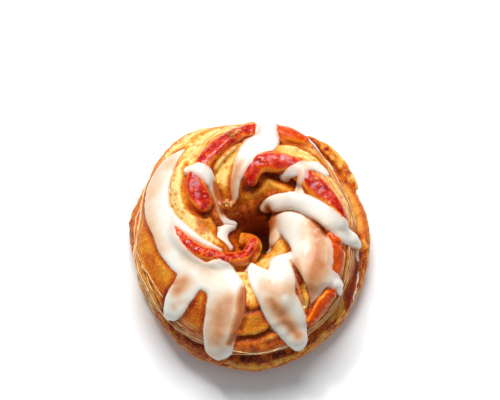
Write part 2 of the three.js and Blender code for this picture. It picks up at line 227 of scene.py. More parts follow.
# rolls of dough: path stops are (angle, station, lift above the ring); wide and high are half sizes
rolls = {
    "rightFold": dict(path=[(64, 13.3, -2.4), (46, 12.5, -2.2), (24, 11.6, -2.2), (6, 10.9, -2.4),
                            (-5, 9.9, -3)],
                      wide=6.4, high=5.2),
    "frontRightFold": dict(path=[(40, 13.9, -4.4), (10, 12.9, -3.8), (-20, 11.8, -3.6), (-39, 10.7, -3.6),
                                 (-50, 9.7, -4.2)], wide=9.6, high=7.2),
    "frontFold": dict(path=[(314, 12.8, -4.2), (294, 11.7, -3.6), (288, 10.7, -3.6), (290, 9.5, -4.4)],
                      wide=9.8, high=6.8),
    "leftFold": dict(path=[(132, 9.9, -2.6), (150, 10.4, -2.0), (172, 11.0, -2.0), (200, 11.7, -2.2),
                           (222, 12.7, -2.8)], wide=6.4, high=5.0),
    "backFold": dict(path=[(84, 10.4, -2.6), (104, 11.2, -2.2), (122, 12.0, -2.2), (134, 12.9, -2.6)],
                     wide=5.6, high=4.6),
    "backRoll": dict(path=[(84, 9.1, 0.2), (104, 10.0, 0.6), (128, 10.6, 0.8), (150, 11.05, 0.8),
                           (166, 11.75, 0.9)], wide=4.9, high=3.4),
    "rightRoll": dict(path=[(101, 12.05, 1.4), (84, 11.25, 1), (57, 10.8, 0.8), (30, 10.75, 0.8),
                            (10, 10.15, 0.4), (-2, 9.6, 0)], wide=4.9, high=3.4),
    "leftRoll": dict(path=[(180, 10.35, 0), (204, 11.03, 0.4), (226, 11.75, 0.6), (246, 12.47, 1.3),
                           (256, 12.85, 4.2), (256, 13.15, 6.6), (236, 13.38, 6.8), (216, 13.4, 5.0),
                           (203, 13.25, 3.2)], wide=3.6, high=3.1),
    "frontRightRoll": dict(path=[(-10, 10.3, 0.4), (-22, 9.8, 0), (-32, 9.3, -0.3)], wide=4.4, high=2.0),
    "rimRoll": dict(path=[(301, 8.7, 0), (311, 9.1, 0.3), (320, 9.2, 0.3), (328, 9.2, 0)],
                    wide=3.4, high=2.4),
    "frontLedge": dict(path=[(252, 7.9, -0.6), (266, 8.3, -0.2), (280, 8.4, -0.2), (294, 8.4, -0.6)],
                       wide=2.8, high=1.9),
    "backLedge": dict(path=[(80, 9.3, 0.2), (68, 9.4, 0.2), (56, 9.0, 0)], wide=3.9, high=2.2),
    "holeNub": dict(path=[(152, 12.15, 0.4), (142, 12.45, 1.2), (134, 12.85, 1.0)], wide=2.0, high=1.8),
    "baseBackRight": dict(path=[(63, 4.9, 0.2), (54, 4.95, 1.6), (42, 4.95, 1.7), (31, 4.9, 0.4),
                                (26, 4.85, -1.0)],
                          wide=2.7, high=3.0),
    "baseRight": dict(path=[(24, 5.0, -1.4), (8, 4.9, -1.2), (-10, 4.8, -1.4)], wide=3.2, high=2.0),
    "baseLeft": dict(path=[(158, 4.3, -2.4), (170, 4.1, -1.8), (184, 4.2, -2.4)], wide=4.0, high=2.4),
    "baseLeftBump": dict(path=[(162, 5.9, -0.8), (167, 5.9, 1.3), (174, 5.85, 1.7), (181, 5.8, 1.3),
                               (185, 5.7, -0.8)],
                         wide=3.4, high=2.6),
    "crescent": dict(path=[(172, 10.95, 0.1), (177, 11.25, 0.5), (178, 11.6, 0.5), (174, 11.95, 0.1)],
                     wide=0.9, high=0.9),
    # folds in the wall of the hole, too small for the solids
    "holeFoldRight": dict(path=[(78, 12.9, -0.6), (56, 12.55, -0.4), (34, 12.5, -0.8)], wide=3.6, high=2.2),
    "holeFoldBack": dict(path=[(100, 12.7, -1.2), (104, 13.4, -0.6), (106, 14.3, -1.0)],
                         wide=2.4, high=1.8),
    "holeFoldFront": dict(path=[(50, 13.3, -1.6), (28, 13.7, 0.2), (6, 13.75, 0.8), (-18, 13.7, 0.6),
                                (-42, 13.3, -1.2)],
                          wide=4.4, high=3.4),
    "holeFoldLeft": dict(path=[(118, 12.9, -1.2), (122, 13.6, -0.6), (124, 14.4, -1.0)],
                         wide=2.2, high=1.7),
}


def rollPath(roll, count=60):
    stops = np.array(roll["path"], float)
    centres = ringPoint(stops[:, 0], stops[:, 1]) + ringNormal(stops[:, 0], stops[:, 1]) * stops[:, 2:]
    line = catmull(centres, count)
    ahead = np.gradient(line, axis=0)
    ahead /= np.linalg.norm(ahead, axis=1, keepdims=True)
    place = np.linspace(0, len(stops) - 1, count)
    ups = ringNormal(stops[:, 0], stops[:, 1])
    up = np.stack([np.interp(place, range(len(stops)), ups[:, k]) for k in range(3)], 1)
    side = np.cross(up, ahead)
    side /= np.linalg.norm(side, axis=1, keepdims=True)
    up = np.cross(ahead, side)
    length = np.linalg.norm(np.diff(line, axis=0), axis=1).sum()
    return line, side, up, length


def addRoll(bm, roll):
    line, side, up, length = rollPath(roll)
    made = bmesh.ops.create_uvsphere(bm, u_segments=28, v_segments=max(16, int(length / 0.9)), radius=1)
    for vert in made["verts"]:
        part = math.acos(max(-1, min(1, -vert.co.z))) / math.pi
        turn = math.atan2(vert.co.y, vert.co.x)
        end = min(part, 1 - part) * length / roll["wide"]
        cap = math.sqrt(1 - (1 - end) ** 2) if end < 1 else 1
        at = part * (len(line) - 1)
        k = min(int(at), len(line) - 2)
        mix = [table[k] * (k + 1 - at) + table[k + 1] * (at - k) for table in (line, side, up)]
        across = mix[1] * roll["wide"] * cap * math.cos(turn)
        above = mix[2] * roll["high"] * cap * math.sin(turn)
        vert.co = Vector((mix[0] + across + above) * mm)


def makeRing(bm):
    stations = np.arange(0, stationCount, 1 / ring["stepsPerStation"])
    outline = onSection(stations)
    verts = [bm.verts.new((r, 0, z)) for r, z in outline]
    edges = [bm.edges.new((a, b)) for a, b in zip(verts, verts[1:] + verts[:1])]
    bmesh.ops.spin(bm, geom=verts + edges, cent=(0, 0, 0), axis=(0, 0, 1), angle=2 * math.pi,
                   steps=ring["turns"], use_merge=True)
    lookup = KDTree(len(outline))
    for k, (r, z) in enumerate(outline):
        lookup.insert((r, z, 0), k)
    lookup.balance()
    bm.verts.ensure_lookup_table()
    turned = np.array([v.co for v in bm.verts])
    found = [lookup.find((math.hypot(x, y), z, 0))[1] for x, y, z in turned]
    placed = ringPoint(np.degrees(np.arctan2(turned[:, 1], turned[:, 0])), stations[found])
    for vert, point in zip(bm.verts, placed):
        vert.co = Vector(point * mm)


# bridges under the icing only, so that its tips hang over the notch between the tiers
tipBridges = {
    "left": dict(path=[(254, 9.6, -2.6), (255, 9.0, -0.7), (255, 8.4, -0.2), (255, 7.6, -0.2),
                       (255, 6.8, 0.3), (255, 6.0, 0.2), (255, 5.2, -1.6)], wide=5.6, high=2.4),
    "right": dict(path=[(-5, 9.0, -0.8), (-5, 8.2, 0.4), (-5, 7.4, 1.2), (-6, 6.7, 0.4)],
                  wide=4.4, high=2.0),
    "front": dict(path=[(294, 8.9, -0.6), (294, 8.2, 0.6), (294, 7.4, 1.0), (294, 6.8, 0)],
                  wide=5.0, high=2.2),
}
dough = {
    "voxel": 0.00068,
    "smooth": 5,
    "skinVoxel": 0.0011,
    "skinSmooth": 14,
}


def ringAndRolls():
    bm = bmesh.new()
    makeRing(bm)
    for roll in rolls.values():
        addRoll(bm, roll)
    bmesh.ops.recalc_face_normals(bm, faces=bm.faces)
    return bm


def doughShape(name, shape, voxel, smooth):
    piece = addObject(name, shape.copy())
    remesh = piece.modifiers.new("join", "REMESH")
    remesh.mode = "VOXEL"
    remesh.voxel_size = voxel
    soften = piece.modifiers.new("soften", "SMOOTH")
    soften.factor = 0.5
    soften.iterations = smooth
    return finished(piece)


print("shaping the dough")
wholeShape = ringAndRolls()
doughPiece = doughShape("danish_dough", wholeShape, dough["voxel"], dough["smooth"])
for bridge in tipBridges.values():
    addRoll(wholeShape, bridge)
skin = doughShape("icing_skin", wholeShape, dough["skinVoxel"], dough["skinSmooth"])
wholeShape.free()
print("dough corners", len(doughPiece.data.vertices), "skin corners", len(skin.data.vertices))


def ringPlaces(points):
    # angle and station of the nearest point of the bare ring, for each point of a mesh
    angles, stations = np.meshgrid(np.arange(0, 360, 1.5), np.arange(0, stationCount, 0.125))
    grid = ringPoint(angles.ravel(), stations.ravel()) * mm
    lookup = KDTree(len(grid))
    for k, point in enumerate(grid):
        lookup.insert(point, k)
    lookup.balance()
    found = np.array([lookup.find(p)[1] for p in points])
    return angles.ravel()[found], stations.ravel()[found]


# creases, relief and colour masks of the dough
creases = {  # (angle, station) along each crease between strands, with its depth and half width
    "besideJamBack": dict(path=[(137, 10.05), (145, 10.35), (154, 10.55), (161, 10.75), (167, 11.05),
                                (170, 11.4), (165, 11.85)], deep=1.7, wide=1.1),
    "innerJamBack": dict(path=[(133, 11.2), (127, 10.95), (117, 10.65), (107, 10.4), (96, 10.15), (90, 9.95)],
                         deep=1.2, wide=0.9),
    "holeEdgeLeft": dict(path=[(158, 11.95), (165, 12.05), (172, 12.35), (182, 12.55), (195, 12.55)],
                         deep=1.1, wide=1.1),
    "aboveJamRight": dict(path=[(104, 11.8), (99, 11.4), (92, 11.05), (85, 10.75), (77, 10.6), (60, 10.45),
                                (52, 10.2), (42, 9.9)], deep=1.2, wide=0.8),
    "underJamRight": dict(path=[(104, 12.3), (91, 12.2), (84, 11.95), (79, 11.65), (72, 11.6), (63, 11.65),
                                (51, 11.55), (44, 11.45), (37, 11.6)], deep=2.4, wide=1.5),
    "rightToFront": dict(path=[(59, 13.65), (39, 12.9), (27, 12.4), (16, 12), (5, 11.55), (-3, 11.15),
                               (-10, 10.75), (-13, 10.35), (-14, 9.85), (-14, 9.3)], deep=1.4, wide=1.0),
    "besideJamFront": dict(path=[(-16, 10.5), (-24, 10.25), (-30, 10.05), (-32, 9.7)], deep=1.2, wide=0.9),
    "frontSlit": dict(path=[(-46, 11.9), (-49, 11.3), (-51, 10.8), (-53, 10.35), (-55, 9.9), (-56, 9.4)],
                      deep=0.5, wide=0.8),
    "besideJamRim": dict(path=[(-57, 9.2), (-51, 9.55), (-46, 9.65), (-42, 9.7), (-39, 9.4), (-35, 8.6)],
                         deep=2.0, wide=1.1),
    "frontLeft": dict(path=[(256, 10.35), (261, 10.2), (266, 10.1), (271, 10.1), (276, 10.25)],
                      deep=0.8, wide=1.0),
    "frontMiddle": dict(path=[(262, 12.1), (269, 11.4), (273, 10.9), (276, 10.35), (279, 9.8), (282, 9.4)],
                        deep=0.5, wide=0.9),
    "underBelly": dict(path=[(250, 8.8), (263, 8.95), (268, 9), (274, 9.05), (281, 9.25), (288, 9.3)],
                       deep=2.2, wide=1.3),
    "underBlob": dict(path=[(168, 10.85), (172, 11.2), (173, 11.5), (170, 11.85), (166, 12.0)],
                      deep=0.8, wide=0.6),
    "behindBaseRoll": dict(path=[(64, 6.1), (54, 6.15), (44, 6.15), (34, 6.1), (26, 5.9)],
                           deep=1.6, wide=0.9),
    "backRight": dict(path=[(78, 10.1), (72, 10), (66, 9.85), (59, 9.65), (53, 9.5), (47, 9.3), (40, 9)],
                      deep=1.3, wide=0.9),
    "underCurl": dict(path=[(222, 11.45), (230, 11.6), (240, 11.75), (250, 12), (259, 12.2), (264, 12.6),
                            (271, 12.75)], deep=1.8, wide=1.2),
    "leftEdge": dict(path=[(192, 8.6), (202, 8.72), (208, 8.75), (215, 8.65), (221, 8.45), (228, 8.35),
                           (236, 8.2)], deep=0.9, wide=0.7),
    "rightEdge": dict(path=[(38, 9.85), (30, 9.65), (24, 9.5), (18, 9.25), (12, 8.9), (4, 8.7)],
                      deep=0.9, wide=0.7),
    "frontRightEdge": dict(path=[(-10, 9.15), (-18, 8.95), (-26, 8.75), (-34, 8.4), (-44, 8.3), (-54, 8.3)],
                           deep=0.9, wide=0.7),
}
patches = {  # (angle, station, half width) strokes that tint the dough: pale, orange or brown
    "pale": [
        [(125, 9.7, 4.0), (137, 10.05, 4.6), (148, 10.15, 4.8), (158, 10.35, 4.8), (168, 10.6, 4.6),
         (176, 10.95, 4.4), (185, 11.4, 4.6), (195, 11.8, 4.6)],
        [(101, 10.4, 3.8), (110, 10.75, 3.8), (119, 11.1, 3.4), (127, 11.5, 2.8)],
        [(68, 10.3, 3.6), (59, 10.1, 5.0), (49, 9.85, 5.0), (36, 9.6, 3.0)],
        [(249, 12.1, 3.2), (256, 11.5, 3.8), (261, 11.1, 4.0), (264, 10.75, 3.6)],
        [(291, 13.1, 3.0), (304, 13.15, 3.6), (318, 13.2, 3.8), (333, 13.3, 3.2)],
        [(150, 8.9, 2.6), (138, 8.85, 3.2), (126, 8.9, 3.4), (114, 8.7, 2.6)],
        [(-52, 10.4, 1.2), (-55, 10.0, 1.6), (-57, 9.5, 1.6)],
        [(-47, 13.6, 3.0), (-71, 13.05, 3.6), (-80, 12.15, 3.8)],
        [(136, 9.7, 2.2), (128, 9.65, 2.6), (122, 9.55, 2.6), (115, 9.35, 2.6), (108, 9.2, 2.2),
         (100, 9.0, 2.0)],
        [(36, 9.6, 2.0), (24, 9.3, 2.0), (14, 9.0, 2.0), (5, 8.8, 1.6)],
    ],
    "orange": [
        [(150, 8.7, 2.0), (143, 8.6, 2.2), (134, 8.5, 2.2), (123, 8.5, 2.0)],
        [(170, 11.35, 1.9), (182, 11.65, 2.8), (190, 11.55, 1.6)],
        [(160, 5.2, 3.0), (168, 5.2, 4.0), (176, 5.0, 4.0), (184, 5.0, 2.6)],
        [(76, 9.5, 3.6), (67, 9.45, 4.2), (58, 9.2, 3.6)],
        [(52, 5.8, 1.6), (44, 5.8, 2.0), (36, 5.8, 2.0), (30, 5.7, 1.6)],
        [(26, 5.3, 3.0), (14, 5.4, 3.0), (4, 5.3, 2.4)],
        [(224, 12.3, 2.6), (240, 12.1, 2.6), (254, 12.5, 3.0)],
        [(-14, 9.7, 3.6), (-24, 9.6, 4.4), (-32, 9.4, 3.0)],
    ],
    "brown": [
        [(199, 9.25, 3.3), (210, 9.2, 4.4), (219, 9.05, 3.3)],
        [(237, 9.15, 3.6), (236, 9.65, 2.2)],
        [(222, 8.5, 1.8), (232, 8.45, 2.6), (241, 8.6, 2.4)],
        [(266, 10.2, 2.0), (270, 10.15, 2.6), (274, 10.1, 2.0)],
        [(214, 7.4, 1.6), (226, 7.2, 2.0), (240, 7.1, 2.2), (250, 7.1, 1.8)],
        [(100, 13.4, 4.0), (115, 13.6, 4.0), (130, 13.6, 4.0), (150, 13.8, 3.0)],
        [(-8, 5.3, 3.0), (-22, 5.2, 3.0), (-33, 5.0, 2.6)],
    ],
    "glaze": [
        [(250, 8.45, 1.8), (258, 8.5, 2.6), (266, 8.55, 3.2), (272, 8.6, 3.4), (279, 8.65, 3.4),
         (288, 8.6, 2.8)],
        [(79, 9.2, 2.4), (70, 9.3, 3.4), (60, 9.15, 3.2), (54, 9.0, 1.8)],
        [(163, 5.8, 2.4), (168, 5.7, 3.2), (175, 5.7, 3.4), (182, 5.6, 2.4)],
    ],
    "red": [
        [(-8, 5.9, 1.6), (-15, 5.75, 2.0), (-22, 5.6, 2.2), (-28, 5.4, 2.2), (-33, 4.9, 2.0)],
        [(218, 4.6, 1.6), (230, 4.7, 2.4), (243, 4.7, 2.8), (256, 4.7, 2.4), (264, 4.9, 1.8)],
        [(232, 6.2, 1.6), (246, 6.2, 2.0), (260, 6.1, 2.0), (272, 6.0, 1.6), (284, 6.0, 2.0),
         (300, 5.9, 1.6)],
        [(160, 7.0, 1.2), (170, 6.6, 1.8), (178, 6.0, 1.2)],
    ],
    "yellow": [
        [(25, 5.6, 1.6), (16, 5.7, 2.2), (6, 5.65, 1.8)],
        [(-33, 5.6, 2.0), (-38, 5.6, 2.4), (-43, 5.6, 1.6)],
        [(277, 6.2, 1.6), (281, 6.2, 1.6)],
        [(266, 4.6, 1.6), (272, 4.6, 1.8)],
        [(31, 6.0, 1.8), (27, 5.6, 2.0)],
    ],
}
pores = {"count": 260, "size": (0.7, 1.4), "deep": 0.34}
fullCrease = 1.6  # depth from which a crease has its full line of painted shade
bakeAndShadeLevels = {  # 0 is pale and 1 is dark; browning, with painted shade in baseFrontShade and hole
    "plain": 0.42,
    "underShoulder": 0.16,
    "base": 0.02,
    # painted shade: the front of the base ring, which faces away from the key light, darker
    "baseFrontShade": 0.10,
    # painted shade: the wall inside the hole darker
    "hole": 0.24,
    "pale": -0.32,
    "brown": 0.14,
    "underside": 0.55,
    "holeShadeReach": (13.5, 11.0),  # millimetres from the middle where the painted shade at the bottom of the hole starts and is full
    "holeShadeHeight": (26, 19),
}
relief = {
    "lumps": (7.0, 0.30),  # size and height in millimetres
    "wrinkles": (2.6, 0.20),
    "baseLumps": (4.2, 0.45),
    "baseBlisters": (2.2, 0.40),
    "baseStreaks": (1.5, 0.40),
    "shoulder": 0.32,  # how far the strands swell beside a crease, against its depth
    "shoulderPlace": (2.3, 1.2),  # where and how wide that swelling is, against the crease's half width
    "creaseEnd": (0.35, 0.5, 5.0),  # share of the depth at an end, and where it starts and stops growing
    "base": (2.4, 3.4, 5.6, 6.4),  # stations between which the base ring's rough side fades in and out
    "plainSlab": (0.75, 46, 24),  # part of the base ring that is smoother: share, angle, spread
    "foot": (1.0, 4.0),  # heights over which the relief fades out towards the flat foot
    "streakStretch": (0.14, 0.14, 1),
    "patchEdge": (0.35, 1.55),  # half widths at which a tinted patch starts and stops fading
    "patchWobble": (4.0, 0.35),
}


casting = {"from": 16.0, "holeStation": 13.3, "fromInHole": 8.0}  # in the hole the far wall is near


def onSurface(tree, angles, stations):
    # the outer surface met when coming straight in towards points of the bare ring
    points = ringPoint(angles, stations)
    normals = ringNormal(angles, stations)
    hits = []
    for p, n, station in zip(points, normals, stations):
        start = casting["from"] if station < casting["holeStation"] else casting["fromInHole"]
        hit = tree.ray_cast(Vector((p + n * start) * mm), Vector(-n), 2 * start * mm)
        hits.append(np.array(hit[0]) if hit[0] is not None else p * mm)
    return np.array(hits)


def fromAbove(tree, angles, stations):
    # the first surface met when coming straight down on points of the bare ring
    hits = []
    for p in ringPoint(angles, stations):
        hit = tree.ray_cast(Vector((p[0], p[1], 80)) * mm, Vector((0, 0, -1)), 1)
        hits.append(np.array(hit[0]) if hit[0] is not None else p * mm)
    return np.array(hits)


def strokeLine(stroke, tree, meet=onSurface):
    flat = catmull([(stop[0], stop[1] * 20, stop[2] if len(stop) > 2 else 1) for stop in stroke], 60)
    return meet(tree, flat[:, 0], flat[:, 1] / 20), flat[:, 2]


def allLines(runs, tree):
    return [strokeLine(stroke, tree) for strokes in runs.values() for stroke in strokes]


def nearLine(points, line, reach, widths=None):
    # distance in millimetres to the line, or in its local half widths; large beyond the reach
    low, high = line.min(0) - reach * mm, line.max(0) + reach * mm
    inside = np.flatnonzero(((points > low) & (points < high)).all(1))
    gone = np.full(len(points), 1e3)
    if len(inside):
        near = points[inside].astype(np.float32)
        for k, place in enumerate(line.astype(np.float32)):
            away = np.sqrt(((near - place) ** 2).sum(1)) / (mm if widths is None else mm * widths[k])
            gone[inside] = np.minimum(gone[inside], away)
    return gone


def depthIn(points, lines, reach=5.0, blend=2.2):
    # millimetres inside the union of the strokes, below 0 outside; strokes blend where they meet
    total = np.full(len(points), 1e-9)
    for line, half in lines:
        low, high = line.min(0) - (half.max() + reach) * mm, line.max(0) + (half.max() + reach) * mm
        inside = np.flatnonzero(((points > low) & (points < high)).all(1))
        near = points[inside].astype(np.float32)
        best = np.full(len(inside), -1e3)
        for place, wide in zip(line.astype(np.float32), half):
            best = np.maximum(best, wide - np.sqrt(((near - place) ** 2).sum(1)) / mm)
        total[inside] += np.exp(blend * best)
    return np.maximum(np.log(total) / blend, -reach)


def creaseHeight(points, tree, wider=0.0, part=1.0):
    height = np.zeros(len(points))
    for crease in creases.values():
        line, _ = strokeLine(crease["path"], tree)
        wide = crease["wide"] + wider
        gone = nearLine(points, line, 4.5 * wide)
        ends = np.minimum(nearLine(points, line[:1], 9), nearLine(points, line[-1:], 9))
        least, near, far = relief["creaseEnd"]
        fade = least + (1 - least) * smoothStep(near, far, ends)
        groove = -np.exp(-(gone / wide) ** 2)
        place, spread = relief["shoulderPlace"]
        swell = relief["shoulder"] * np.exp(-((gone - place * wide) / (spread * wide)) ** 2)
        height = np.minimum(height, 0) + groove * crease["deep"] * fade * part \
            + np.maximum(height, swell * crease["deep"] * fade * part) * (groove > -0.5)
    return height


def patchMask(points, strokes, tree, wobble):
    mask = np.zeros(len(points))
    for stroke in strokes:
        line, half = strokeLine(stroke, tree)
        gone = nearLine(points, line, half.max() * 2.6, half)
        mask = np.maximum(mask, 1 - smoothStep(*relief["patchEdge"], gone + wobble))
    return mask


def poreDepth(points, mask):
    # small round pits in the pale bands, where the batter bubbled
    rng = random.Random(7)
    spots = np.flatnonzero(mask > 0.4)
    depth = np.zeros(len(points))
    for _ in range(pores["count"]):
        at = points[spots[rng.randrange(len(spots))]]
        size = rng.uniform(*pores["size"])
        depth = np.maximum(depth, hump(nearLine(points, at[None], size * 1.1), size) * size)
    return depth * pores["deep"]


def shapeDough(piece, tree):
    mesh = piece.data
    points = corners(mesh)
    normals = normalsOf(mesh)
    angle, station = ringPlaces(points)
    onBase = smoothStep(*relief["base"][:2], station) * (1 - smoothStep(*relief["base"][2:], station))
    foot = smoothStep(*relief["foot"], points[:, 2] / mm)
    wobble = relief["patchWobble"][1] * noiseAt(points, relief["patchWobble"][0], 61)
    masks = {name: patchMask(points, strokes, tree, wobble) for name, strokes in patches.items()}
    push = creaseHeight(points, tree)
    push += relief["lumps"][1] * noiseAt(points, relief["lumps"][0], 1)
    push += relief["wrinkles"][1] * noiseAt(points, relief["wrinkles"][0], 2)
    share, middle, spread = relief["plainSlab"]
    rough = onBase * (1 - share * hump(turnBetween(angle, middle), spread))
    push += rough * relief["baseLumps"][1] * noiseAt(points, relief["baseLumps"][0], 3)
    push += rough * relief["baseBlisters"][1] * np.abs(noiseAt(points, relief["baseBlisters"][0], 4))
    streaks = noiseAt(points * relief["streakStretch"], relief["baseStreaks"][0], 5)
    push += rough * relief["baseStreaks"][1] * streaks
    dents = poreDepth(points, masks["pale"])
    push -= dents
    points = points + normals * (push * foot * mm)[:, None]
    setCorners(mesh, points)

    # crease is high in hollows and low on crests: it puts painted shade in the hollows and painted light on
    # the crests, with some real syrup darkening in the hollows too
    soft = neighbourMean(mesh, points, 14)
    normals = normalsOf(mesh)
    dip = ((soft - points) * normals).sum(1) / mm
    setMask(mesh, "crease", np.clip(dip * 1.6, -1, 1) * 0.5 + 0.5)
    front = hump(turnBetween(angle, 262), 70)
    bakeAndShade = bakeAndShadeLevels["plain"] + bakeAndShadeLevels["underShoulder"] * smoothStep(9.4, 7.6, station) * (station > 5)
    # the front of the base ring gets painted shade
    bakeAndShade = bakeAndShade + bakeAndShadeLevels["base"] * onBase + bakeAndShadeLevels["baseFrontShade"] * onBase * front
    # painted shade inside the hole
    bakeAndShade = bakeAndShade + bakeAndShadeLevels["hole"] * smoothStep(12.2, 14.0, station)
    bakeAndShade = bakeAndShade + bakeAndShadeLevels["pale"] * masks["pale"] + bakeAndShadeLevels["brown"] * masks["brown"]
    bakeAndShade = np.where(station < 3, bakeAndShadeLevels["underside"], bakeAndShade)
    setMask(mesh, "bakeAndShade", np.clip(bakeAndShade, 0, 1))
    setMask(mesh, "pit", np.clip(dents * 3.2, 0, 1))
    # painted shade: the bottom of the hole tinted dark brown
    fromMiddle = np.linalg.norm(points[:, :2], axis=1) / mm
    deep = smoothStep(*bakeAndShadeLevels["holeShadeReach"], fromMiddle) * smoothStep(*bakeAndShadeLevels["holeShadeHeight"], points[:, 2] / mm)
    setMask(mesh, "deep", deep)
    for name in ("pale", "orange", "red", "yellow", "glaze"):
        setMask(mesh, name, masks[name])
    # painted shade: a dark line along each crease between strands
    creaseShade = np.zeros(len(points))
    for crease in creases.values():
        line, _ = strokeLine(crease["path"], tree)
        gone = nearLine(points, line, 4 * crease["wide"]) / crease["wide"]
        creaseShade = np.maximum(creaseShade, np.exp(-(gone / 1.25) ** 2) * min(1, crease["deep"] / fullCrease))
    setMask(mesh, "creaseShade", creaseShade)
    jamLines = allLines(jams, tree)
    setMask(mesh, "stain", smoothStep(-1.9, -0.3, depthIn(points, jamLines) + 1.2 * wobble))
    icingLines = allLines(icings, tree)
    # painted shade: dough darker under the icing and within a few millimetres of its edges, a painted contact
    # shadow
    icingEdgeShade = smoothStep(-2.6, -0.2, depthIn(points, icingLines) + wobble)
    setMask(mesh, "icingEdgeShade", icingEdgeShade * (1 - 0.8 * masks["pale"]))
    leftWall = hump(turnBetween(angle, 240), 22)
    setMask(mesh, "layers", np.maximum(hump(station - 7.3, 1.5), hump(station - 8.2, 1.0) * leftWall))
    setMask(mesh, "rugged", onBase)


# jam
jams = {  # strokes of (angle, station, half width)
    "jam_back": [
        [(134, 10.65, 2.8), (129, 10.5, 3.9), (122, 10.35, 4.5), (116, 10.2, 4.5), (110, 10.1, 4.4),
         (104, 10.0, 4.0), (97, 9.8, 3.7), (88, 9.6, 3.4)],
        [(136, 10.65, 2.8), (143, 10.65, 3.4), (149, 10.95, 4.3), (154, 11.25, 4.7), (159, 11.5, 3.9)],
    ],
    "jam_right": [
        [(98, 12.0, 2.8), (94, 11.6, 3.5), (88, 11.3, 4.2), (80, 11.15, 4.7), (71, 11.05, 4.6),
         (62, 10.9, 3.8), (52, 10.75, 3.0), (44, 10.75, 3.0)],
        [(40, 10.85, 3.2), (32, 10.8, 4.7), (25, 10.65, 4.7), (18, 10.45, 3.9), (11, 10.2, 3.0),
         (3, 9.85, 1.9)],
    ],
    "jam_left": [
        [(181, 10.4, 1.0), (188, 10.65, 2.0), (195, 10.85, 2.6), (203, 11.05, 3.0), (210, 11.3, 3.1),
         (217, 11.6, 3.2), (226, 11.8, 3.1), (237, 12.2, 2.9), (247, 12.5, 2.8), (254, 12.8, 2.4),
         (256, 13.05, 1.7)],
    ],
    "jam_front_right": [
        [(-10, 10.35, 2.8), (-18, 10.0, 4.4), (-23, 9.8, 4.6), (-28, 9.6, 3.8), (-32, 9.4, 2.4)],
    ],
    "jam_rim": [
        [(-37, 9.2, 2.4), (-41, 9.25, 3.2), (-45, 9.25, 3.4), (-50, 9.2, 3.2), (-55, 9.05, 2.6),
         (-59, 8.85, 1.6)],
    ],
    "jam_back_rim": [
        [(77, 9.5, 3.2), (71, 9.5, 3.7), (66, 9.45, 3.9), (61, 9.3, 3.6), (56, 9.1, 2.4)],
    ],
}
thinJams = ("jam_front_right", "jam_rim", "jam_back_rim")


icings = {  # strokes of (angle, station, half width)
    "icing_left": [
        [(131, 9.45, 0.9), (138, 9.4, 3.2), (145, 9.35, 5.2), (155, 9.35, 6.3), (168, 9.6, 6.5),
         (183, 10.0, 5.9), (204, 10.4, 6.0), (221, 10.7, 5.7), (240, 10.95, 6.5)],
        [(171, 10.25, 1.4), (184, 10.85, 1.9), (200, 11.5, 1.7), (216, 12.1, 0.9)],
        [(221, 10.6, 5.9), (224, 9.95, 6.2), (226, 9.3, 5.8), (227, 8.85, 4.6), (226, 8.35, 2.4)],
        [(236, 11.2, 7.4), (248, 10.75, 8.4), (253, 10.0, 8.8), (254, 9.2, 8.0), (255, 8.4, 7.0),
         (255, 7.7, 6.2), (255, 6.9, 4.6)],
    ],
    "icing_back": [
        [(81, 8.6, 4.4), (82, 9.2, 5.2), (81, 9.65, 5.6), (81, 10.1, 6.0), (88, 10.45, 5.6),
         (96, 10.95, 4.6), (106, 11.4, 3.2), (118, 11.95, 2.5), (127, 12.4, 1.9), (136, 12.5, 1.3)],
    ],
    "icing_hole": [
        [(140, 10.3, 2.2), (136, 10.6, 3.6), (135, 11.1, 3.5), (138, 11.5, 2.4), (146, 12.0, 1.8),
         (158, 12.45, 1.7), (165, 12.85, 1.9), (160, 13.4, 1.4)],
    ],
    "icing_right": [
        [(60, 11.45, 1.4), (54, 11.1, 2.6), (47, 10.5, 3.0), (41, 9.7, 3.0), (36, 9.5, 2.2)],
        [(50, 10.6, 1.6), (44, 10.95, 1.6), (40, 11.35, 1.7), (34, 11.65, 2.2)],
        [(73, 13.3, 2.3), (57, 12.75, 4.1), (43, 12.35, 4.2), (31, 11.95, 4.4), (20, 11.55, 4.9),
         (8, 11.0, 4.8), (0, 10.4, 4.6), (-4, 9.6, 4.6), (-5, 8.9, 3.6), (-6, 8.0, 2.2)],
    ],
    "icing_front": [
        [(48, 13.95, 1.8), (23, 13.1, 4.7), (4, 12.5, 7.0), (-12, 11.8, 8.6), (-24, 11.15, 9.2),
         (-35, 10.8, 9.0), (-43, 10.4, 8.0), (-49, 10.05, 5.4), (-54, 9.7, 2.2)],
        [(-39, 10.4, 4.5), (-36, 9.8, 3.9), (-34, 9.3, 3.8), (-33, 8.6, 2.8), (-34, 8.2, 1.4)],
        [(265, 12.25, 2.2), (271, 11.85, 4.0), (278, 11.25, 5.6), (285, 10.65, 7.6), (289, 10.1, 8.6),
         (291, 9.6, 8.2), (293, 9.0, 6.8), (294, 8.3, 4.8), (294, 7.5, 2.4)],
        [(305, 12.0, 6.0), (296, 11.3, 6.0), (292, 10.7, 6.5)],
        [(45, 13.3, 2.0), (25, 13.7, 3.6), (6, 13.8, 4.6), (-12, 13.7, 4.8), (-28, 13.9, 3.4),
         (-46, 14.0, 2.0), (-62, 14.0, 1.0)],
    ],
    "icing_curl": [
        [(166, 13.4, 1.4), (175, 13.0, 2.2), (187, 12.7, 2.8), (200, 12.65, 2.8), (213, 12.8, 1.9)],
    ],
}
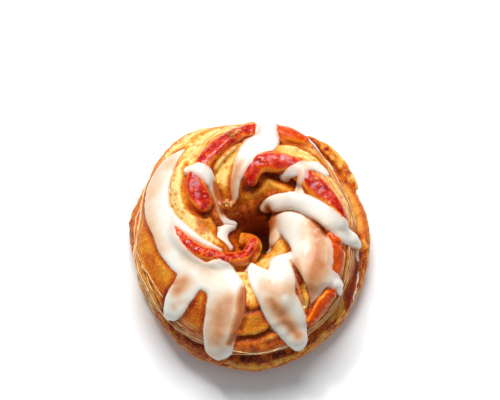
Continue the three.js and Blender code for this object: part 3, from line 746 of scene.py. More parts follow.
icingCuts = [  # bare slits left between two runs
    [(-48, 11.75, 0.3), (-50, 11.2, 0.9), (-52, 10.7, 1.5), (-53, 10.25, 1.5), (-54, 9.8, 1.1),
     (-55, 9.3, 1.2)],
    [(59, 13.65, 0.3), (39, 12.9, 0.4), (27, 12.4, 0.4), (16, 12.0, 0.4), (5, 11.55, 0.5), (-3, 11.1, 0.9),
     (-9, 10.75, 1.3)],
]
icingBeads = [  # thick ends: (angle, station, reach, extra thickness)
    (225, 8.6, 4.0, 0.7), (255, 7.9, 7.0, 1.1), (-5, 8.7, 5.0, 1.0), (-2, 9.5, 4.5, 0.6),
    (-34, 8.7, 3.6, 0.8), (294, 8.4, 6.0, 1.1), (291, 9.4, 5.0, 0.3), (74, 9.8, 4.0, 0.4),
]
sheers = [  # strokes where the icing is thin and the baked dough shows through: last value is the strength
    ([(140, 9.4, 5.0), (153, 9.1, 5.6), (162, 9.2, 5.6), (172, 9.3, 5.2), (184, 9.6, 4.4), (196, 9.9, 3.4)],
      0.38),
    ([(198, 9.5, 1.4), (210, 9.5, 1.8), (218, 9.8, 3.0), (221, 10.0, 3.6), (222, 9.6, 3.2)], 0.66),
    ([(208, 10.6, 3.0), (219, 10.95, 3.8), (232, 11.1, 4.4), (247, 11.05, 4.0)], 0.28),
    ([(227, 9.15, 2.0), (230, 9.45, 2.4)], 0.45),
    ([(252, 10.35, 4.4), (252, 10.0, 6.0), (253, 9.3, 5.4), (254, 8.7, 4.0), (254, 8.2, 2.8)], 0.66),
    ([(261, 11.0, 2.0), (262, 10.5, 2.8), (263, 9.9, 3.0), (262, 9.3, 2.8), (260, 8.8, 2.0)], 0.92),
    ([(103, 11.1, 2.2), (109, 11.4, 2.2), (120, 11.85, 2.4), (131, 12.4, 2.4)], 0.62),
    ([(134, 11.4, 1.8), (144, 12.0, 2.4), (154, 12.45, 2.2)], 1.05),
    ([(71, 13.6, 1.8), (60, 13.2, 2.4)], 0.45),
    ([(40, 12.5, 1.9), (25, 12.05, 2.3), (12, 11.5, 1.8)], 0.12),
    ([(50, 10.55, 2.4), (45, 10.95, 2.0), (39, 11.4, 2.0)], 0.34),
    ([(62, 13.2, 3.2), (50, 13.5, 4.2), (36, 13.8, 4.8), (24, 14.1, 4.4)], 1.05),
    ([(24, 13.9, 4.4), (4, 13.9, 4.6), (-14, 13.7, 4.4)], 0.52),
    ([(44, 11.15, 1.8), (38, 11.5, 1.8)], 0.5),
    ([(-4, 11.5, 4.2), (-14, 11.2, 5.8), (-27, 11.0, 6.4), (-36, 10.6, 6.4), (-46, 10.3, 5.4),
      (-52, 9.95, 4.2)], 0.68),
    ([(-12, 10.8, 2.4), (-22, 10.5, 2.6), (-30, 10.2, 2.6)], 0.48),
    ([(-44, 11.4, 2.4), (-50, 10.8, 2.2), (-53, 10.2, 2.2)], 0.60),
    ([(284, 11.05, 5.0), (289, 10.55, 5.4), (296, 10.6, 4.6)], 0.48),
    ([(283, 10.4, 3.2), (288, 9.85, 3.6), (291, 9.35, 3.2), (294, 8.7, 2.4)], 0.74),
]
icingPools = [  # white pools inside the sheer runs: (angle, station, reach)
    (286, 9.15, 3.0), (285, 11.6, 4.0), (-30, 11.6, 4.2), (231, 9.3, 3.6), (251, 11.4, 5.0),
    (292, 10.35, 2.2), (14, 12.4, 4.0), (-38, 9.6, 3.4), (254, 8.3, 3.6),
]


print("relief and masks")
bareTree = treeOf(doughPiece)
shapeDough(doughPiece, bareTree)
doughTree = treeOf(doughPiece)
skinPoints = corners(skin.data)
skinDents = creaseHeight(skinPoints, bareTree, 1.0, 0.2) * mm
setCorners(skin.data, skinPoints + normalsOf(skin.data) * skinDents[:, None])
skinTree = treeOf(skin)
print("dough is shaped")


# icing and jam as coats that flow over the dough
icing = {
    "thick": 1.15,
    "round": 2.2,  # how far in from the edge the coat swells, in millimetres
    "keep": -1.3,  # how far past its edge a coat is kept, in millimetres
    "edgeWobble": ((13.0, 0.55), (5.0, 0.14)),
    "swell": (16.0, 0.10),
    "clear": 0.35,  # least room over what lies under it
    "even": 8,
    "sheerSpread": 1.15,
    "sheerThinner": 0.45,
    "poolHides": 0.75,
    "wall": 0.9,
}


def selectNear(source, name, lines, keep):
    # copy of the part of a skin that lies near the strokes
    bm = bmesh.new()
    bm.from_mesh(source.data)
    bm.verts.ensure_lookup_table()
    depth = depthIn(corners(source.data), lines)
    gone = [v for v in bm.verts if depth[v.index] < keep]
    bmesh.ops.delete(bm, geom=gone, context="VERTS")
    return addObject(name, bm)


def trimmed(mesh, depth, keep):
    # cut away what lies past the edge, and loose bits beside the largest piece
    bm = bmesh.new()
    bm.from_mesh(mesh)
    bm.verts.ensure_lookup_table()
    gone = [v for v in bm.verts if depth[v.index] < keep]
    bmesh.ops.delete(bm, geom=gone, context="VERTS")
    left = set(bm.verts)
    islands = []
    while left:
        island = [left.pop()]
        for v in island:
            for edge in v.link_edges:
                other = edge.other_vert(v)
                if other in left:
                    left.discard(other)
                    island.append(other)
        islands.append(island)
    most = max(len(island) for island in islands)
    loose = [v for island in islands if len(island) < 0.3 * most for v in island]
    bmesh.ops.delete(bm, geom=loose, context="VERTS")
    bm.to_mesh(mesh)
    bm.free()


def refine(piece, levels):
    finer = piece.modifiers.new("finer", "SUBSURF")
    finer.levels = finer.render_levels = levels
    return finished(piece)


def closeWall(piece, depth):
    wall = piece.modifiers.new("wall", "SOLIDIFY")
    wall.thickness = depth * mm
    wall.offset = -1
    return finished(piece)


def liftClear(mesh, raised, normals, depth, thick, under):
    # raise the coat where it would come too close to what lies under it
    lack = np.zeros(len(raised))
    for k in np.flatnonzero(depth > 0.1):
        point = Vector(raised[k])
        for tree in under:
            hit = tree.find_nearest(point, 0.005)
            if hit[0] is None or hit[1].dot(Vector(normals[k])) < 0.4:
                continue
            above = (point - hit[0]).dot(hit[1]) / mm
            need = icing["clear"] + 0.4 * thick[k]
            if abs(above) < 4 and above < need:
                lack[k] = max(lack[k], need - above)
    return raised + normals * (neighbourMean(mesh, lack, 6) * mm)[:, None]


def makeIcing(name, strokes, under, part=1.0, meet=onSurface):
    lines = [strokeLine(stroke, skinTree, meet) for stroke in strokes]
    piece = refine(selectNear(skin, name, lines, icing["keep"] - 1.2), 1)
    mesh = piece.data
    points = corners(mesh)
    normals = normalsOf(mesh)
    depth = depthIn(points, lines)
    for k, (size, share) in enumerate(icing["edgeWobble"]):
        depth = depth + share * noiseAt(points, size, 21 + k)
    for cut in icingCuts:
        depth = np.minimum(depth, -depthIn(points, [strokeLine(cut, skinTree)], 8.0))
    inside = np.clip(depth / icing["round"], 0, 1)
    profile = np.sqrt(1 - (1 - inside) ** 2)
    thick = part * icing["thick"] * profile * (1 + icing["swell"][1] * noiseAt(points, icing["swell"][0], 30))
    for angle, station, reach, extra in icingBeads:
        at = onSurface(skinTree, np.array([angle]), np.array([station]))
        thick = thick + extra * hump(nearLine(points, at, reach * 1.05), reach) * profile
    sheer = np.zeros(len(points))
    for stroke, strength in sheers:
        line, half = strokeLine(stroke, skinTree)
        gone = nearLine(points, line, half.max() * 2.6, half)
        sheer = np.maximum(sheer, strength * np.exp(-(gone / icing["sheerSpread"]) ** 2))
    for angle, station, reach in icingPools:
        at = onSurface(skinTree, np.array([angle]), np.array([station]))
        sheer = sheer * (1 - icing["poolHides"] * hump(nearLine(points, at, reach * 1.3), reach * 1.25))
    beside = depthIn(points, allLines(jams, skinTree))
    pink = smoothStep(-2.2, 0.6, beside) * (1 - smoothStep(0.6, 3.0, depth))
    thick = thick * (1 - icing["sheerThinner"] * sheer)
    thick = np.where(depth > 0, thick, depth * 1.1)
    raised = points + normals * (thick * mm)[:, None]
    raised = liftClear(mesh, raised, normals, depth, thick, under)
    even = neighbourMean(mesh, raised, icing["even"])
    raised = np.where((depth > 0.4)[:, None], even, raised)
    setCorners(mesh, raised)
    setMask(mesh, "cover", np.clip(depth / 3, 0, 1))
    setMask(mesh, "sheer", sheer)
    setMask(mesh, "pink", pink)
    trimmed(mesh, depth, icing["keep"])
    return closeWall(piece, icing["wall"])


# thin runs that only the dressed pastry has
thinRuns = {
    "icing_in_gap": [[(57, 5.8, 0.8), (51, 5.75, 1.2), (45, 5.7, 1.3), (40, 5.7, 0.8)]],
    "icing_bit_left": [[(211, 7.2, 0.9), (215, 6.9, 1.4), (219, 6.5, 1.2)]],
    "icing_trail_right": [[(-5, 6.6, 1.3), (-10, 5.9, 1.0), (-18, 5.4, 0.9), (-26, 5.0, 0.85),
                           (-33, 4.65, 0.8)]],
}
syrupRun = [[(-8, 6.0, 1.4), (-15, 5.85, 2.0), (-21, 5.7, 2.3), (-27, 5.5, 2.4), (-32, 5.15, 2.2),
             (-34, 4.85, 1.6)]]
jamCoat = {
    "thick": 0.85,
    "round": 2.4,
    "keep": -1.0,
    "edgeWobble": ((6.0, 0.6), (2.2, 0.4)),
    "lumps": ((4.5, 0.26), (1.8, 0.07)),
    "bubbles": 22,
    "bubbleSize": (0.4, 0.85),
    "bubbleHeight": 0.7,  # against its radius
    "bubbly": {"red_jam_left": 4},  # runs with more bubbles, and how many times more
    "thinBubbles": 0.5,
    "thinCoat": 0.55,
    "thinLumps": 0.5,
    "wall": 1.4,
}


rinds = {  # side of each jam run where its edge is browned
    "red_jam_left": (-0.1, 1.0),
    "red_jam_right": (-0.5, -0.9),
    "red_jam_back": (-0.6, 0.8),
    "red_jam_rim": (-0.7, 0.7),
}


def rindSide(points, lines, towards):
    # how far each point lies to one side of its stroke, from 0 in the middle to 1 at the edge
    side = np.zeros(len(points))
    if towards != (0, 0):
        best = np.full(len(points), -1e3)
        for line, half in lines:
            for place, wide in zip(line, half):
                away = (points - place) / mm
                depth = wide - np.linalg.norm(away, axis=1)
                nearer = depth > best
                best = np.where(nearer, depth, best)
                across = (away[:, 0] * towards[0] + away[:, 1] * towards[1]) / wide
                side = np.where(nearer, across, side)
    return np.clip(side, 0, 1)


def makeJam(name, strokes, thin):
    lines = [strokeLine(stroke, doughTree) for stroke in strokes]
    piece = refine(selectNear(doughPiece, name, lines, jamCoat["keep"] - 1.2), 1)
    mesh = piece.data
    doughMasks = [layer.name for layer in mesh.attributes
                  if layer.data_type == "FLOAT" and not layer.is_internal]
    for mask in doughMasks:
        mesh.attributes.remove(mesh.attributes[mask])
    even = neighbourMean(mesh, corners(mesh), 6)
    setCorners(mesh, even)
    points = corners(mesh)
    normals = normalsOf(mesh)
    depth = depthIn(points, lines)
    for k, (size, share) in enumerate(jamCoat["edgeWobble"]):
        depth = depth + share * noiseAt(points, size, 41 + k)
    inside = np.clip(depth / jamCoat["round"], 0, 1)
    coatShare, lumpShare = (jamCoat["thinCoat"], jamCoat["thinLumps"]) if thin else (1, 1)
    thick = jamCoat["thick"] * np.sqrt(1 - (1 - inside) ** 2) * coatShare
    for k, (size, height) in enumerate(jamCoat["lumps"]):
        thick = thick + inside * height * noiseAt(points, size, 50 + k) * lumpShare
    rng = random.Random(name)
    bubbles = np.zeros(len(points))
    seats = np.flatnonzero(depth > 0.8)
    share = jamCoat["bubbly"].get(name, jamCoat["thinBubbles"] if thin else 1)
    for _ in range(int(jamCoat["bubbles"] * share)):
        at = points[seats[rng.randrange(len(seats))]]
        radius = rng.uniform(*jamCoat["bubbleSize"])
        swelling = hump(nearLine(points, at[None], radius * 1.05), radius)
        bubbles = np.maximum(bubbles, jamCoat["bubbleHeight"] * radius * swelling)
    thick = thick + bubbles * inside
    thick = np.where(depth > 0, thick, depth)
    setCorners(mesh, points + normals * (thick * mm)[:, None])
    setMask(mesh, "cover", np.clip(depth / 3, 0, 1))
    setMask(mesh, "bubble", np.clip(bubbles * 2, 0, 1))
    setMask(mesh, "rind", rindSide(points, lines, rinds.get(name, (0, 0))))
    trimmed(mesh, depth, jamCoat["keep"])
    return closeWall(piece, jamCoat["wall"])


# thin layers of dough that stand out along the edges
flakes = {  # paths of (angle, station): edges of rolled-out layers
    "edges": [
        [(136, 10.1), (128, 9.85), (122, 9.7), (115, 9.5), (109, 9.3), (103, 9.05), (97, 8.9), (90, 8.8)],
        [(131, 10.15), (124, 9.95), (117, 9.7), (110, 9.5), (104, 9.3), (97, 9.15), (91, 9.1)],
        [(38, 9.8), (30, 9.55), (24, 9.4), (18, 9.1), (13, 8.8), (5, 8.6)],
        [(37, 9.95), (31, 9.75), (24, 9.6), (17, 9.4), (12, 9.15), (5, 8.95)],
        [(34, 9.4), (26, 9.2), (18, 8.9), (10, 8.6), (2, 8.45)],
        [(-12, 9.35), (-19, 9.25), (-25, 9.1), (-30, 8.9)],
        [(-8, 8.95), (-16, 8.7), (-24, 8.5), (-32, 8.3)],
        [(-8, 8.6), (-16, 8.35), (-26, 8.1), (-34, 7.9)],
        [(-34, 8.2), (-41, 8.2), (-48, 8.25), (-56, 8.3), (-60, 8.35)],
        [(-35, 7.9), (-42, 7.9), (-49, 7.95), (-58, 8.0), (-64, 8.0)],
        [(291, 8.4), (283, 8.35), (277, 8.3), (270, 8.2), (264, 8.1), (257, 8.1)],
        [(290, 8.15), (282, 8.1), (275, 8.05), (266, 7.9), (258, 7.85)],
        [(292, 7.9), (282, 7.8), (272, 7.75), (262, 7.6), (252, 7.6)],
        [(190, 8.5), (196, 8.65), (202, 8.7), (208, 8.7), (215, 8.6), (221, 8.4), (228, 8.3), (236, 8.2),
         (244, 8.05)],
        [(198, 8.85), (206, 8.95), (213, 9.0), (219, 8.95)],
        [(194, 8.3), (204, 8.4), (214, 8.35), (224, 8.1), (236, 7.9), (248, 7.8)],
        [(150, 8.6), (160, 8.5), (172, 8.5), (184, 8.5), (192, 8.35)],
    ],
    "out": 0.55,
    "thick": 0.17,
    "sideCount": 14,
    "sideStations": (6.5, 8.4),
}


def addFlake(bm, layer, path, seed, out):
    line, _ = strokeLine(path, doughTree)
    length = np.linalg.norm(np.diff(line, axis=0), axis=1).sum() / mm
    steps = max(10, int(length / 0.8))
    flat = catmull([(stop[0], stop[1] * 20, 0) for stop in path], steps + 1)
    wave = np.array([noise.noise(Vector((k * 0.11, seed * 3.7, 0.5))) for k in range(steps + 1)])
    flutter = np.array([noise.noise(Vector((k * 0.35, seed * 1.9, 4.5))) for k in range(steps + 1)])
    angles, stations = flat[:, 0], flat[:, 1] / 20 + 0.06 * wave
    roots = onSurface(doughTree, angles, stations)
    normals = ringNormal(angles, stations)
    fade = np.clip(np.minimum(np.arange(steps + 1), np.arange(steps + 1)[::-1]) / 4, 0, 1)
    reach = out * (0.75 + 0.7 * flutter) * fade
    made = bmesh.ops.create_grid(bm, x_segments=steps, y_segments=3, size=0.5)
    for vert in made["verts"]:
        k = int(round((vert.co.x + 0.5) * steps))
        part = vert.co.y + 0.5
        vert[layer] = part
        lift = -0.7 + part * (0.7 + reach[k])
        point = roots[k] / mm + normals[k] * lift + np.array([0, 0, 0.25 * part * wave[k]])
        vert.co = Vector(point * mm)


def makeFlakes():
    bm = bmesh.new()
    layer = bm.verts.layers.float.new("out")
    for k, path in enumerate(flakes["edges"]):
        addFlake(bm, layer, path, k + 1, flakes["out"])
    rng = random.Random(11)
    for k in range(flakes["sideCount"]):
        start = rng.uniform(0, 360)
        span = rng.uniform(25, 70)
        station = rng.uniform(*flakes["sideStations"])
        path = [(start + span * part, station + rng.uniform(-0.1, 0.1)) for part in (0, 0.33, 0.66, 1)]
        addFlake(bm, layer, path, 40 + k, flakes["out"] * 0.75)
    piece = addObject("flaky_layers", bm)
    wall = piece.modifiers.new("wall", "SOLIDIFY")
    wall.thickness = flakes["thick"] * mm
    wall.offset = 0
    return finished(piece)


crumbs = {
    "places": [  # baked bits: (angle, station, radius, paleness)
        (140, 12.3, 1.0, 0.6), (137, 12.45, 0.8, 0.6), (144, 12.2, 0.8, 0.6), (146, 12.35, 0.6, 0.6),
        (133, 12.5, 0.7, 0.6), (141, 12.5, 0.7, 0.6), (34, 10.65, 0.9, 0.6), (29, 10.6, 0.5, 0.6),
        (101, 9.95, 1.5, 0.38), (103, 10.1, 1.3, 0.38), (98, 9.85, 1.2, 0.38), (105, 9.95, 0.9, 0.38),
    ],
    "lumps": (1.3, 0.9),  # how close together and how high, against the radius
    "flat": 0.45,
    "lift": 0.85,
}


def makeCrumbs():
    bm = bmesh.new()
    layer = bm.verts.layers.float.new("out")
    often, high = crumbs["lumps"]
    for k, (angle, station, radius, paleness) in enumerate(crumbs["places"]):
        seat = onSurface(doughTree, np.array([angle]), np.array([station]))[0] / mm
        normal = ringNormal(angle, station)
        made = bmesh.ops.create_icosphere(bm, subdivisions=3, radius=1)
        for vert in made["verts"]:
            lumpy = 1 + high * noise.noise(vert.co * often + Vector((k * 7.1, 0, 0)))
            vert[layer] = paleness
            out = vert.co.dot(Vector(normal))
            flat = vert.co - Vector(normal) * crumbs["flat"] * out
            vert.co = Vector((seat + normal * crumbs["lift"]) * mm) + flat * radius * lumpy * mm
    return addObject("baked_crumbs", bm)


# materials
def linear(colour):
    # a colour given as it looks on screen, 0 to 255
    return tuple(((c / 255 + 0.055) / 1.055) ** 2.4 if c > 10 else c / 255 / 12.92 for c in colour) + (1,)


class Nodes:
    # short calls that build a node tree
    def __init__(self, tree):
        self.tree = tree
        tree.nodes.clear()

    def add(self, kind, **settings):
        node = self.tree.nodes.new(kind)
        for key, value in settings.items():
            setattr(node, key, value)
        return node

    def link(self, source, target):
        self.tree.links.new(source, target)

    def feed(self, socket, value):
        if isinstance(value, bpy.types.NodeSocket):
            self.link(value, socket)
        else:
            socket.default_value = value

    def calculate(self, operation, a, b):
        node = self.add("ShaderNodeMath", operation=operation)
        self.feed(node.inputs[0], a)
        self.feed(node.inputs[1], b)
        return node.outputs[0]

    def plus(self, a, b):
        return self.calculate("ADD", a, b)

    def times(self, a, b):
        return self.calculate("MULTIPLY", a, b)

    def varied(self, level, pattern, share):
        # the level made higher and lower by a pattern whose middle is one half
        return self.plus(level, self.times(self.calculate("SUBTRACT", pattern, 0.5), share))

    def rough(self, pattern, settings):
        least, share = settings
        return self.plus(least, self.times(pattern, share))

    def mask(self, name):
        return self.add("ShaderNodeAttribute", attribute_name=name).outputs["Fac"]

    def objectCoords(self):
        return self.add("ShaderNodeTexCoord").outputs["Object"]

    def noise(self, coords, scale, detail=3.0, rough=0.55):
        node = self.add("ShaderNodeTexNoise")
        for name, value in (("Vector", coords), ("Scale", scale), ("Detail", detail), ("Roughness", rough)):
            self.feed(node.inputs[name], value)
        return node.outputs["Fac"]

    def mapped(self, value, low, high, start=0.0, end=1.0):
        node = self.add("ShaderNodeMapRange")
        settings = {"Value": value, "From Min": low, "From Max": high, "To Min": start, "To Max": end}
        for name, setting in settings.items():
            self.feed(node.inputs[name], setting)
        return node.outputs[0]

    def mix(self, factor, a, b):
        node = self.add("ShaderNodeMix", data_type="RGBA")
        for socket, value in ((node.inputs[0], factor), (node.inputs[6], a), (node.inputs[7], b)):
            self.feed(socket, value)
        return node.outputs[2]

    def ramp(self, value, stops):
        node = self.add("ShaderNodeValToRGB")
        table = node.color_ramp
        while len(table.elements) < len(stops):
            table.elements.new(0.5)
        for element, (at, colour) in zip(table.elements, stops):
            element.position = at
            element.color = linear(colour)
        self.link(value, node.inputs[0])
        return node.outputs["Color"]

    def bumps(self, heights):
        # bumps over one another: (pattern, strength, height in millimetres)
        normal = None
        for pattern, strength, height in heights:
            node = self.add("ShaderNodeBump")
            self.feed(node.inputs["Strength"], strength)
            self.feed(node.inputs["Distance"], height * mm)
            self.link(pattern, node.inputs["Height"])
            if normal is not None:
                self.link(normal, node.inputs["Normal"])
            normal = node.outputs["Normal"]
        return normal

    def shader(self, settings):
        shader = self.add("ShaderNodeBsdfPrincipled")
        for name, value in settings.items():
            self.feed(shader.inputs[name], value)
        output = self.add("ShaderNodeOutputMaterial")
        self.link(shader.outputs[0], output.inputs[0])

    def place(self, group, settings):
        node = self.add("ShaderNodeGroup")
        node.node_tree = group
        for name, value in settings.items():
            self.feed(node.inputs[name], value)
        return node.outputs


def newMaterial(name):
    material = bpy.data.materials.new(name)
    material.use_nodes = True
    return material, Nodes(material.node_tree)


def newGroup(name, wanted, made):
    group = bpy.data.node_groups.new(name, "ShaderNodeTree")
    for title in wanted:
        kind = "NodeSocketVector" if title == "Vector" else "NodeSocketFloat"
        group.interface.new_socket(title, in_out="INPUT", socket_type=kind)
    for title in made:
        group.interface.new_socket(title, in_out="OUTPUT", socket_type="NodeSocketFloat")
    nodes = Nodes(group)
    return group, nodes, nodes.add("NodeGroupInput").outputs, nodes.add("NodeGroupOutput").inputs


def perMm(size):
    return 1 / (size * mm)


def mottleGroup():
    # a level made uneven by a broad and a fine noise
    parts = ("Broad", "Fine")
    kinds = ("Scale", "Detail", "Roughness")
    wanted = [part + " " + kind for part in parts for kind in (*kinds, "Share")]
    group, nodes, given, made = newGroup("mottle", ["Vector", "Level"] + wanted, ["Level", "Broad", "Fine"])
    level = given["Level"]
    for part in parts:
        grain = nodes.noise(given["Vector"], *[given[part + " " + kind] for kind in kinds])
        nodes.link(grain, made[part])
        level = nodes.varied(level, grain, given[part + " Share"])
    nodes.link(level, made["Level"])
    return group


def pitsGroup():
    # round pits: 1 in the middle of each, 0 around
    group, nodes, given, made = newGroup("round_pits", ["Vector", "Scale", "Inside", "Edge"], ["Mask"])
    cells = nodes.add("ShaderNodeTexVoronoi")
    nodes.link(given["Vector"], cells.inputs["Vector"])
    nodes.link(given["Scale"], cells.inputs["Scale"])
    nodes.link(nodes.mapped(cells.outputs["Distance"], given["Edge"], given["Inside"]), made["Mask"])
    return group


mottle = mottleGroup()
roundPits = pitsGroup()


def mottled(nodes, coords, level, broad, fine):
    # broad and fine are (size in millimetres, detail, roughness, share in the level)
    settings = {"Vector": coords, "Level": level}
    for part, (size, detail, rough, share) in (("Broad", broad), ("Fine", fine)):
        settings.update({part + " Scale": perMm(size), part + " Detail": detail,
                         part + " Roughness": rough, part + " Share": share})
    made = nodes.place(mottle, settings)
    return made["Level"], made["Broad"], made["Fine"]


def pitsMask(nodes, coords, size, inside, edge):
    settings = {"Vector": coords, "Scale": perMm(size), "Inside": inside, "Edge": edge}
    return nodes.place(roundPits, settings)["Mask"]


doughFinish = {
    "broad": (9.0, 2, 0.55, 0.45),
    "grain": (0.95, 3, 0.6, 0.50),
    "pits": (1.25, 0.10, 0.36),  # size in millimetres, then the inside and edge of each pit
    "specks": (1.9, 0.04, 0.20),
    "layerStretch": (0.12, 0.12, 1),
    "streaks": (1.0, 0.9),  # shares of layers and patches in the base ring's unevenness
    # crease: painted shade in hollows and painted light on crests, partly real syrup darkening in the hollows
    "crease": 0.5,
    # creaseShade: painted shade along the creases
    "creaseShade": 0.42,
    # icingEdgeShade: painted contact shadow beside the icing
    "icingEdgeShade": 0.27,
    "baked": [(0.04, (248, 216, 140)), (0.22, (240, 182, 80)), (0.40, (224, 138, 26)), (0.58, (196, 88, 4)),
              (0.78, (140, 44, 2)), (1.0, (66, 18, 2))],
    "glazed": [(0.34, (156, 34, 0)), (0.50, (204, 72, 4)), (0.66, (230, 126, 20))],
    "tints": [  # laid over one another in this order, each with its strength
        ("orange", 1.0, (210, 90, 8)), ("red", 0.8, (158, 40, 4)), ("yellow", 1.0, (250, 192, 78)),
        ("glaze", 0.85, None), ("pit", 0.60, (212, 118, 26)), ("speck", 0.45, (250, 206, 120)),
        ("hole", 0.42, (194, 94, 10)), ("thinLayer", 0.75, (240, 196, 136)),
        # deep: painted shade at the bottom of the hole
        ("betweenLayers", 0.6, (134, 58, 20)), ("stain", 1.0, (196, 66, 8)), ("deep", 0.7, (176, 92, 24))],
    "roughness": (0.32, 0.35),  # the least, and the pattern's share
    "shader": {"Subsurface Weight": 0.08, "Subsurface Scale": 0.0015, "Subsurface Radius": (1.0, 0.4, 0.15),
               "Specular IOR Level": 0.16, "Coat Weight": 0.10, "Coat Roughness": 0.10},
}


def doughMaterial():
    finish = doughFinish
    material, nodes = newMaterial("golden_dough")
    coords = nodes.objectCoords()
    # bakeAndShade: browning with painted shade in it
    level, broad, grain = mottled(nodes, coords, nodes.mask("bakeAndShade"), finish["broad"], finish["grain"])
    fine = nodes.noise(coords, perMm(0.45), 2, 0.6)
    patch = nodes.noise(coords, perMm(3.4), 2, 0.5)
    hole = pitsMask(nodes, coords, *finish["pits"])
    speck = pitsMask(nodes, coords, *finish["specks"])
    stretch = nodes.add("ShaderNodeMapping")
    stretch.inputs["Scale"].default_value = finish["layerStretch"]
    nodes.link(coords, stretch.inputs["Vector"])
    leaf = nodes.noise(stretch.outputs[0], perMm(0.9), 2, 0.5)
    streak = nodes.varied(nodes.varied(0.0, leaf, finish["streaks"][0]), patch, finish["streaks"][1])
    level = nodes.plus(level, nodes.times(nodes.mask("rugged"), streak))
    # painted shade in the hollows and painted light on the crests, partly real syrup darkening
    level = nodes.varied(level, nodes.mask("crease"), finish["crease"])
    # painted shade along the creases and at the icing's edges, added to the dough level
    for name in ("creaseShade", "icingEdgeShade"):
        level = nodes.plus(level, nodes.times(nodes.mask(name), finish[name]))
    onSide = nodes.mask("layers")
    masks = {
        "orange": nodes.times(nodes.mask("orange"), nodes.plus(0.30, grain)),
        "red": nodes.times(nodes.mask("red"), nodes.mapped(grain, 0.30, 0.60)),
        "yellow": nodes.times(nodes.mask("yellow"), grain),
        "speck": speck,
        "hole": hole,
        "thinLayer": nodes.times(onSide, nodes.mapped(leaf, 0.50, 0.62)),
        "betweenLayers": nodes.times(onSide, nodes.mapped(leaf, 0.45, 0.30)),
        "stain": nodes.times(nodes.mask("stain"), nodes.plus(0.35, broad)),
    }
    colour = nodes.ramp(level, finish["baked"])
    for name, strength, tint in finish["tints"]:
        mask = masks.get(name) or nodes.mask(name)
        over = nodes.ramp(patch, finish["glazed"]) if tint is None else linear(tint)
        colour = nodes.mix(nodes.times(mask, strength), colour, over)
    normal = nodes.bumps([(leaf, 0.35, 0.3), (grain, 0.9, 0.45), (hole, -0.5, 0.35), (fine, 0.5, 0.12)])
    nodes.shader({**finish["shader"], "Base Color": colour, "Normal": normal, "Coat Normal": normal,
                  "Roughness": nodes.rough(grain, finish["roughness"])})
    return material


flakeFinish = {
    "broad": (5.0, 3, 0.55, 1.2),
    "grain": (1.2, 3, 0.6, 0.4),
    "layers": [(0.20, (140, 62, 18)), (0.50, (196, 112, 44)), (0.75, (234, 180, 112)),
               (0.95, (248, 216, 166))],
    "roughness": (0.35, 0.3),
    "shader": {"Subsurface Weight": 0.10, "Subsurface Scale": 0.001, "Subsurface Radius": (1.0, 0.6, 0.3),
               "Specular IOR Level": 0.2, "Coat Weight": 0.08, "Coat Roughness": 0.2},
}


def flakeMaterial():
    finish = flakeFinish
    material, nodes = newMaterial("flaky_dough")
    coords = nodes.objectCoords()
    level, _, grain = mottled(nodes, coords, nodes.mask("out"), finish["broad"], finish["grain"])
    nodes.shader({**finish["shader"], "Base Color": nodes.ramp(level, finish["layers"]),
                  "Roughness": nodes.rough(grain, finish["roughness"]),
                  "Normal": nodes.bumps([(grain, 0.5, 0.2)])})
    return material


jamFinish = {
    "broad": (3.6, 3, 0.55, 0.55),
    "fine": (0.7, 3, 0.6, 0.30),
    # bubble: lighter colour on the bubbles, a painted highlight
    "bubble": 0.22,
    "rind": 0.42,
    "edge": (0.78, 0.36),  # level at the thin edge and in the middle
    "glints": (1.0, 0.10, 0.34),
    "glintColour": (255, 190, 150),
    "driest": 0.12,  # against the wettest places
    "roughness": (0.16, 0.3),
    "shader": {"Subsurface Weight": 0.05, "Subsurface Scale": 0.001, "Subsurface Radius": (1.0, 0.2, 0.1),
               "Specular IOR Level": 0.05, "Coat Roughness": 0.035},
}
jamKinds = {  # name of the look, coat in its wettest places, and colours from thick to thin
    "deep": ("red_jam", 1.0, [
        (0.22, (136, 5, 0)), (0.36, (190, 22, 0)), (0.48, (220, 66, 0)), (0.66, (238, 134, 20))]),
    "thin": ("orange_jam", 0.45, [(0.20, (184, 36, 0)), (0.42, (220, 80, 2)), (0.72, (240, 140, 20))]),
    "syrup": ("brown_syrup", 0.6, [(0.22, (104, 22, 2)), (0.44, (146, 42, 6)), (0.74, (176, 84, 26))]),
}


def jamMaterial(name, wettest, stops):
    finish = jamFinish
    material, nodes = newMaterial(name)
    coords = nodes.objectCoords()
    level, broad, fine = mottled(nodes, coords, 0.0, finish["broad"], finish["fine"])
    bubble = nodes.mask("bubble")
    # bubbles painted lighter, a painted highlight
    level = nodes.plus(level, nodes.times(bubble, finish["bubble"]))
    level = nodes.plus(level, nodes.mapped(nodes.mask("rind"), 0.35, 0.95, 0.0, finish["rind"]))
    level = nodes.plus(level, nodes.mapped(nodes.mask("cover"), 0.0, 0.50, *finish["edge"]))
    # glints: pale flecks in the base colour, strongest on the bubbles, painted highlights
    glint = nodes.times(pitsMask(nodes, coords, *finish["glints"]), nodes.mapped(fine, 0.46, 0.60))
    glint = nodes.times(glint, nodes.mapped(bubble, 0.0, 0.6, 0.24, 0.90))
    colour = nodes.mix(glint, nodes.ramp(level, stops), linear(finish["glintColour"]))
    wet = nodes.noise(coords, perMm(2.0), 2)
    nodes.shader({**finish["shader"], "Base Color": colour,
                  "Roughness": nodes.rough(fine, finish["roughness"]),
                  "Coat Weight": nodes.mapped(wet, 0.38, 0.54, finish["driest"] * wettest, wettest),
                  "Normal": nodes.bumps([(broad, 0.3, 0.4), (fine, 0.5, 0.10)]),
                  "Coat Normal": nodes.bumps([(broad, 0.5, 0.5), (fine, 1.0, 0.18)])})
    return material


